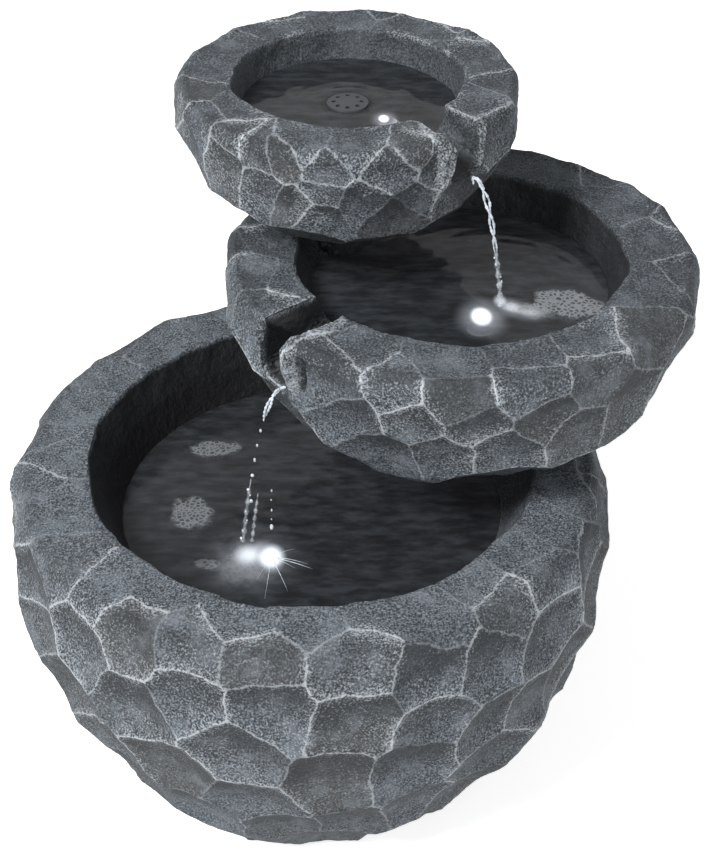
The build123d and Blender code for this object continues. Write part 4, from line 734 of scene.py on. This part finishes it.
def pool(bowl, level, cells, rings):
    """A rippled sheet of water from wall to wall."""
    bpy.ops.object.select_all(action="DESELECT")
    bpy.ops.mesh.primitive_grid_add(x_subdivisions=cells, y_subdivisions=cells, size=2)
    piece = bpy.context.object
    piece.name = bowl.name + "_pool"
    x, y, _ = coordinates(piece.data).T
    radius = bowl.basin(level) + 1.0
    east = bowl.place[0] + radius * x * np.sqrt(1 - y * y / 2)
    north = bowl.place[1] + radius * y * np.sqrt(1 - x * x / 2)
    flat = np.stack([east, north, np.full(len(east), level)], axis=1)
    lift = 0.35 * wander(flat * (1, 1.6, 1), 30, 8)[:, 2] + 0.12 * wander(flat, 11, 9)[:, 2]
    for ring_x, ring_y, size, length in rings:
        away = np.hypot(east - ring_x, north - ring_y)
        lift += size * np.cos(2 * math.pi * away / length) * np.exp(-away / 70)
    flat[:, 2] += lift
    piece.data.vertices.foreach_set("co", (flat * MM).ravel())
    if bowl is UPPER:
        # the outlet cap stands through the sheet
        work = bmesh.new()
        work.from_mesh(piece.data)
        centre = Vector(bowl.place) * MM
        capped = [v for v in work.verts if (v.co.xy - centre).length < CAP_ROOM * MM]
        bmesh.ops.delete(work, geom=capped, context="VERTS")
        work.to_mesh(piece.data)
        work.free()
    bpy.ops.object.shade_smooth()
    bpy.ops.object.modifier_add(type="SOLIDIFY")
    piece.modifiers[0].thickness = SHEET * MM
    piece.modifiers[0].offset = -1
    bpy.ops.object.modifier_apply(modifier=piece.modifiers[0].name)
    return piece


def near_spot(tree, place, spot, edge):
    """How far inside an oval spot a point is, from 0 at its edge to 1; the edge is roughened by a noise."""
    x, y, z, wide, deep, turn = spot
    shifted = node(tree, "ShaderNodeMapping",
                   {"Vector": place, "Location": (x * MM, y * MM, z * MM),
                    "Rotation": (0, 0, math.radians(turn)), "Scale": (wide * MM, deep * MM, 1)},
                   vector_type="TEXTURE").outputs[0]
    away = node(tree, "ShaderNodeVectorMath", {0: shifted}, operation="LENGTH").outputs["Value"]
    rough = node(tree, "ShaderNodeMath", {0: edge, 1: 0.9, 2: away}, operation="MULTIPLY_ADD").outputs[0]
    return node(tree, "ShaderNodeMapRange", {"Value": rough, "From Min": 1.45, "From Max": 0.45}).outputs[0]


def pool_water(name, glows, foams):
    """Water over a dark basin: a thin dark tint, streaks of painted sheen, a mirror finish, lacy foam, a
    faint painted glow and more over each lamp.
    """
    made, tree, shader, place = new_material("water_" + name, IOR=1.333, Specular_IOR_Level=0.25)
    level = POOLS[name][0]
    drawn = node(tree, "ShaderNodeVectorMath", {0: place, 1: (0.35, 1.0, 1.0)},
                 operation="MULTIPLY").outputs[0]
    streak = node(tree, "ShaderNodeTexNoise", {"Vector": drawn, "Scale": per_mm(7), "Detail": 5.0,
                                               "Roughness": 0.65}).outputs["Fac"]
    edge = node(tree, "ShaderNodeTexNoise",
                {"Vector": place, "Scale": per_mm(9), "Detail": 4.0}).outputs["Fac"]
    # painted sheen: the water's colour is lighter in streaks
    tint = node(tree, "ShaderNodeMapRange", {"Value": streak, "From Min": 0.35, "From Max": 0.7},
                interpolation_type="SMOOTHSTEP").outputs[0]
    colour = node(tree, "ShaderNodeMix", {0: tint, 6: linear("#202224"), 7: linear("#363a3e")},
                  data_type="RGBA").outputs[2]

    # bubbles: a pale net with dark cells, thicker towards the middle of a patch
    cells = node(tree, "ShaderNodeTexVoronoi", {"Vector": place, "Scale": per_mm(3.2)},
                 feature="DISTANCE_TO_EDGE").outputs["Distance"]
    net = node(tree, "ShaderNodeMapRange",
               {"Value": cells, "From Min": 0.3, "From Max": 0.05, "To Min": 0.12}).outputs[0]
    for *spot, density, glow in foams:
        inside = near_spot(tree, place, [*spot[:2], level, *spot[2:]], edge)
        patch = node(tree, "ShaderNodeMapRange",
                     {"Value": inside, "From Max": 0.25 + 0.75 * glow, "To Max": density},
                     interpolation_type="SMOOTHSTEP").outputs[0]
        lace = node(tree, "ShaderNodeMapRange", {"Value": net, "To Min": glow, "To Max": 1.0}).outputs[0]
        froth = node(tree, "ShaderNodeMath", {0: patch, 1: lace}, operation="MULTIPLY").outputs[0]
        colour = node(tree, "ShaderNodeMix", {0: froth, 6: colour, 7: linear("#b9bec3")},
                      data_type="RGBA").outputs[2]
    # painted glow: the whole sheet glows faintly, a little more in the streaks, and more over each spot
    painted_glow = node(tree, "ShaderNodeMapRange", {"Value": tint, "To Min": 0.005, "To Max": 0.016}).outputs[0]
    for x, y, wide, deep, strength in glows:
        inside = near_spot(tree, place, (x, y, level, wide, deep, 0), 0.5)
        near = node(tree, "ShaderNodeMapRange", {"Value": inside, "To Max": strength},
                    interpolation_type="SMOOTHERSTEP").outputs[0]
        painted_glow = node(tree, "ShaderNodeMath", {0: painted_glow, 1: near}).outputs[0]
    cover = node(tree, "ShaderNodeMapRange",
                 {"Value": painted_glow, "From Min": 0.02, "From Max": 0.2, "To Min": 0.7}).outputs[0]
    if name == "upper":
        # the outlet cap lifts the water, which is clear there and shows its brim
        above = near_spot(tree, place, (*UPPER.place, level, *CLEAR_SPOT, 0), 0.5)
        thin = node(tree, "ShaderNodeMapRange",
                    {"Value": above, "From Max": 0.4, "To Min": 1.0, "To Max": 0.35}).outputs[0]
        cover = node(tree, "ShaderNodeMath", {0: cover, 1: thin}, operation="MULTIPLY").outputs[0]
    dull = node(tree, "ShaderNodeMapRange", {"Value": streak, "To Min": 0.02, "To Max": 0.16}).outputs[0]
    for socket, value in (("Base Color", colour), ("Emission Strength", painted_glow), ("Alpha", cover),
                          ("Roughness", dull)):
        tree.links.new(value, shader.inputs[socket])
    shader.inputs["Emission Color"].default_value = linear("#eef4ff")
    return made


for bowl in BOWLS:
    piece = pool(bowl, *POOLS[bowl.name])
    mount(piece, pool_water(bowl.name, GLOWS[bowl.name], FOAMS[bowl.name]))
    print(piece.name, len(piece.data.polygons), "faces")

# %% [markdown]
# ## Falling water
# Water leaves each spout as a thin film and falls in two strands that twist round each other, thin out
# and break into drops. Air and the studio's light make them white, and a glow in small patches adds
# painted glints. A strand is a curve with a changing thickness, made a mesh, and the drops are stretched
# balls. Over the lip and at the foot the water is a thin film, almost clear.

# %% Water that falls
thin_water, tree, shader, place = new_material("water_film", Base_Color=linear("#dfe6ec"), IOR=1.333,
                                               Roughness=0.1)
swirl = node(tree, "ShaderNodeTexNoise",
             {"Vector": place, "Scale": per_mm(3), "Detail": 2.0}).outputs["Fac"]
film = node(tree, "ShaderNodeMapRange",
            {"Value": swirl, "From Min": 0.35, "From Max": 0.65, "To Min": 0.08, "To Max": 0.5}).outputs[0]
facing = node(tree, "ShaderNodeLayerWeight", {"Blend": 0.5}).outputs["Facing"]
middle = node(tree, "ShaderNodeMath", {0: 1.0, 1: facing}, operation="SUBTRACT").outputs[0]
faint = node(tree, "ShaderNodeMath", {0: film, 1: middle}, operation="MULTIPLY").outputs[0]
tree.links.new(faint, shader.inputs["Alpha"])
lit_water, tree, shader, place = new_material("water_lit", Base_Color=linear("#b4bdc5"), IOR=1.333,
                                              Roughness=0.1, Emission_Color=linear("#eef4ff"))
# painted glints: the lit water glows in small patches
sparkle = node(tree, "ShaderNodeTexNoise",
               {"Vector": place, "Scale": per_mm(4), "Detail": 3.0}).outputs["Fac"]
glint = node(tree, "ShaderNodeMapRange",
             {"Value": sparkle, "From Min": 0.35, "From Max": 0.65, "To Max": 0.45}).outputs[0]
tree.links.new(glint, shader.inputs["Emission Strength"])


# %% Streams
STRAND_STEPS, BAND_STEPS = 60, 24
FILM = 0.9


def ball(place, width, length):
    """A drop, stretched along its fall."""
    bpy.ops.object.select_all(action="DESELECT")
    bpy.ops.mesh.primitive_ico_sphere_add(subdivisions=2, radius=1, location=[c * MM for c in place])
    drop = bpy.context.object
    drop.scale = (width * MM, width * MM, length * MM)
    bpy.ops.object.transform_apply()
    bpy.ops.object.shade_smooth()
    return drop


def fall(start, end, level):
    """Place on a falling path at a level, from the lip to the landing place."""
    share = math.sqrt(max(0, (start[2] - level) / (start[2] - end[2])))
    return [start[i] + (end[i] - start[i]) * share for i in (0, 1)] + [level]


def stream(name, start, end, break_level, wind, width, drops):
    """Two twisted strands down to a level, and drops below it."""
    parts = []
    for k in (0, 1):
        line, radii = [], []
        for i, level in enumerate(np.linspace(start[2], break_level, STRAND_STEPS)):
            share = i / (STRAND_STEPS - 1)
            turn = 2 * math.pi * (wind * share + k / 2)
            swing = width * min(1, 0.25 + 4 * share) * (1.15 - 0.55 * share)
            x, y, z = fall(start, end, level)
            line.append((x + swing * math.cos(turn), y + 0.6 * swing * math.sin(turn), z))
            taper = min(1, (STRAND_STEPS - i) / 10)
            swell = 0.22 * math.sin(0.9 * i + 2 * k) + 0.16 * math.sin(2.3 * i + k)
            radii.append(0.1 + taper * (0.6 + swell))
        parts.append(tube(line, radii))
        bpy.ops.object.shade_smooth()
    for level, aside, size in drops:
        x, y, z = fall(start, end, level)
        parts.append(ball((x + aside, y, z), size, size * (1.7 + 0.8 * math.sin(2.6 * level))))
    return join(name, parts)


def veil(name, start, end, film, bands):
    """Film over a lip, and bands at the foot: top and bottom level, distance aside and width of each."""
    parts = [tube(film, [FILM] * len(film))]
    bpy.ops.object.shade_smooth()
    for top, bottom, aside, width in bands:
        places = [fall(start, end, level) for level in np.linspace(top, bottom, BAND_STEPS)]
        radii = [width * min(1, 0.2 + k / 9) * (1 + 0.4 * math.sin(1.7 * k + aside))
                 for k in range(BAND_STEPS)]
        parts.append(tube([(x + aside, y, z) for x, y, z in places], radii))
        bpy.ops.object.shade_smooth()
    return join(name, parts)


UPPER_LIP, UPPER_LANDING = (101.5, 27.5, 431.5), (124, 24, 340)
MIDDLE_LIP, MIDDLE_LANDING = (-13.5, -43, 324.5), (-45.5, -42, 194.5)
upper_film = spout_frame(UPPER, [(103, 8, 63), (107, 6, 63.3), (110, 3, 63.5)])
middle_film = spout_frame(MIDDLE, [(149, -10, 79.5), (149.5, -3, 79.5), (149.5, 4, 79.5),
                                   (149, 8, 79.5)])
# level, distance aside and size of each drop
upper_drops = [(376, -1.2, 0.6), (371, -0.8, 0.7), (362, 1.4, 0.6), (358, 1.6, 0.7), (430, -3, 0.8),
               (428, -4, 0.6)]
middle_drops = [(290, 0, 0.8), (278, 0, 0.7), (266, 0.3, 0.8), (253, 0.5, 1.2), (241, -0.8, 1.0),
                (236, 1, 0.7), (231, 2.2, 1.1), (222, -0.5, 0.6), (214, 1, 0.5), (205, -1, 0.6),
                (198, -1.5, 0.8), (240, 14.6, 0.5), (232, 15.2, 0.4), (223, 16.5, 0.5), (215, 17.2, 0.4),
                (208, 18, 1.2)]
for piece, finish in (
    (stream("upper_stream", UPPER_LIP, UPPER_LANDING, 380, 1.6, 1.5, upper_drops), lit_water),
    (veil("upper_veil", UPPER_LIP, UPPER_LANDING, upper_film, [(388, 341, 0, 1.7)]), thin_water),
    (stream("middle_stream", MIDDLE_LIP, MIDDLE_LANDING, 298, 0.8, 1.4, middle_drops), lit_water),
    (veil("middle_veil", MIDDLE_LIP, MIDDLE_LANDING, middle_film, [(250, 196, 0, 1.5), (238, 196, 6, 1.2)]),
     thin_water),
):
    mount(piece, finish)
    print(piece.name, len(piece.data.polygons), "faces")

# %% [markdown]
# ## The splash
# Where the long stream lands it throws up a crown: thin jets that fly out low over the water, most of
# them forward, lit from below by the lamp, which their painted glints show. Each jet is a short arc with a
# fine end, with its own bearing, reach, height and width.

# %% Splash crown
SPLASH = (-25.5, -57, 194.5)
JETS = [(-24, 30, 1.2, 0.4), (-19, 26, 1.8, 0.3), (-35, 20, 0.8, 0.25), (-70, 35, 0.8, 0.4),
        (-94, 40, 0.6, 0.3), (-112, 24, 0.6, 0.25), (165, 20, 1.5, 0.2), (24, 17, 1.5, 0.2)]


def jet(bearing, reach, height, thick):
    """One jet of a splash: an arc from the landing place, thinning to its end."""
    turn = math.radians(bearing)
    line, radii = [], []
    for t in np.linspace(0.15, 1, 9):
        out = reach * t
        rise = 4 * height * t * (1 - 0.8 * t)
        line.append((SPLASH[0] + out * math.cos(turn), SPLASH[1] + out * math.sin(turn),
                     SPLASH[2] + rise))
        radii.append(thick * (1.05 - t))
    return tube(line, radii)


jets = [jet(*arc) for arc in JETS]
splash = join("lower_splash", jets)
bpy.ops.object.shade_smooth()
mount(splash, lit_water)
print(splash.name, len(jets), "jets")

# %% [markdown]
# ## Floor, light and camera
# The fountain stands on a white floor under soft studio light. The camera looks down on it from the
# front.


# %% Stage
def seen_rays(tree):
    """1 for rays from the camera, off a mirror or through glass, 0 for those that only carry light."""
    rays = node(tree, "ShaderNodeLightPath").outputs
    seen = rays["Is Camera Ray"]
    for kind in ("Is Glossy Ray", "Is Transmission Ray"):
        seen = node(tree, "ShaderNodeMath", {0: seen, 1: rays[kind]}, operation="MAXIMUM").outputs[0]
    return seen


# how much whiter the floor looks than it is lit, and how much light the white surroundings give
FLOOR_SIZE, FLOOR_LIFT, SKY_LIGHT = 12, 0.75, 0.28
bpy.ops.object.select_all(action="DESELECT")
bpy.ops.mesh.primitive_plane_add(size=FLOOR_SIZE, location=(0, 0, 0))
floor = bpy.context.object
floor.name = "studio_floor"
white, tree, shader, _ = new_material("white_floor_paint", Base_Color=linear("#e8e8e8"), Roughness=0.9)
lift = node(tree, "ShaderNodeMath", {0: seen_rays(tree), 1: FLOOR_LIFT}, operation="MULTIPLY").outputs[0]
shader.inputs["Emission Color"].default_value = (1, 1, 1, 1)
tree.links.new(lift, shader.inputs["Emission Strength"])
floor.data.materials.append(white)

world = bpy.data.worlds.new("studio")
bpy.context.scene.world = world
world.use_nodes = True
tree = world.node_tree
tree.nodes.clear()
level = node(tree, "ShaderNodeMapRange",
             {"Value": seen_rays(tree), "To Min": SKY_LIGHT, "To Max": 1.0}).outputs[0]
sky = node(tree, "ShaderNodeBackground", {"Color": (1, 1, 1, 1), "Strength": level})
node(tree, "ShaderNodeOutputWorld", {"Surface": sky.outputs[0]})


def soft_light(name, place, aim, size, power):
    """A large square lamp at a place, turned to a point."""
    lamp = bpy.data.objects.new(name, bpy.data.lights.new(name, "AREA"))
    lamp.data.size = size
    lamp.data.energy = power
    lamp.location = place
    lamp.rotation_euler = (Vector(aim) - Vector(place)).to_track_quat("-Z", "Y").to_euler()
    bpy.context.scene.collection.objects.link(lamp)


soft_light("key_light", (-1.0, -1.0, 1.85), (0, 0, 0.2), 0.5, 58)
soft_light("fill_light", (1.4, -1.6, 0.7), (0.1, 0, 0.2), 1.0, 11)

# the camera's lens, from its focal length and the picture's height in pixels
SENSOR, FOCAL_PIXELS, PICTURE_HEIGHT = 36, 1450, 850
LOOK_DOWN = 37.9
camera = bpy.data.objects.new("camera", bpy.data.cameras.new("camera"))
camera.location = (0.0281, -0.7627, 0.8552)
camera.rotation_euler = Euler((math.radians(90 - LOOK_DOWN), 0, 0))
camera.data.lens = SENSOR * FOCAL_PIXELS / PICTURE_HEIGHT
bpy.context.scene.collection.objects.link(camera)
bpy.context.scene.camera = camera
bpy.context.scene.view_settings.view_transform = "Standard"
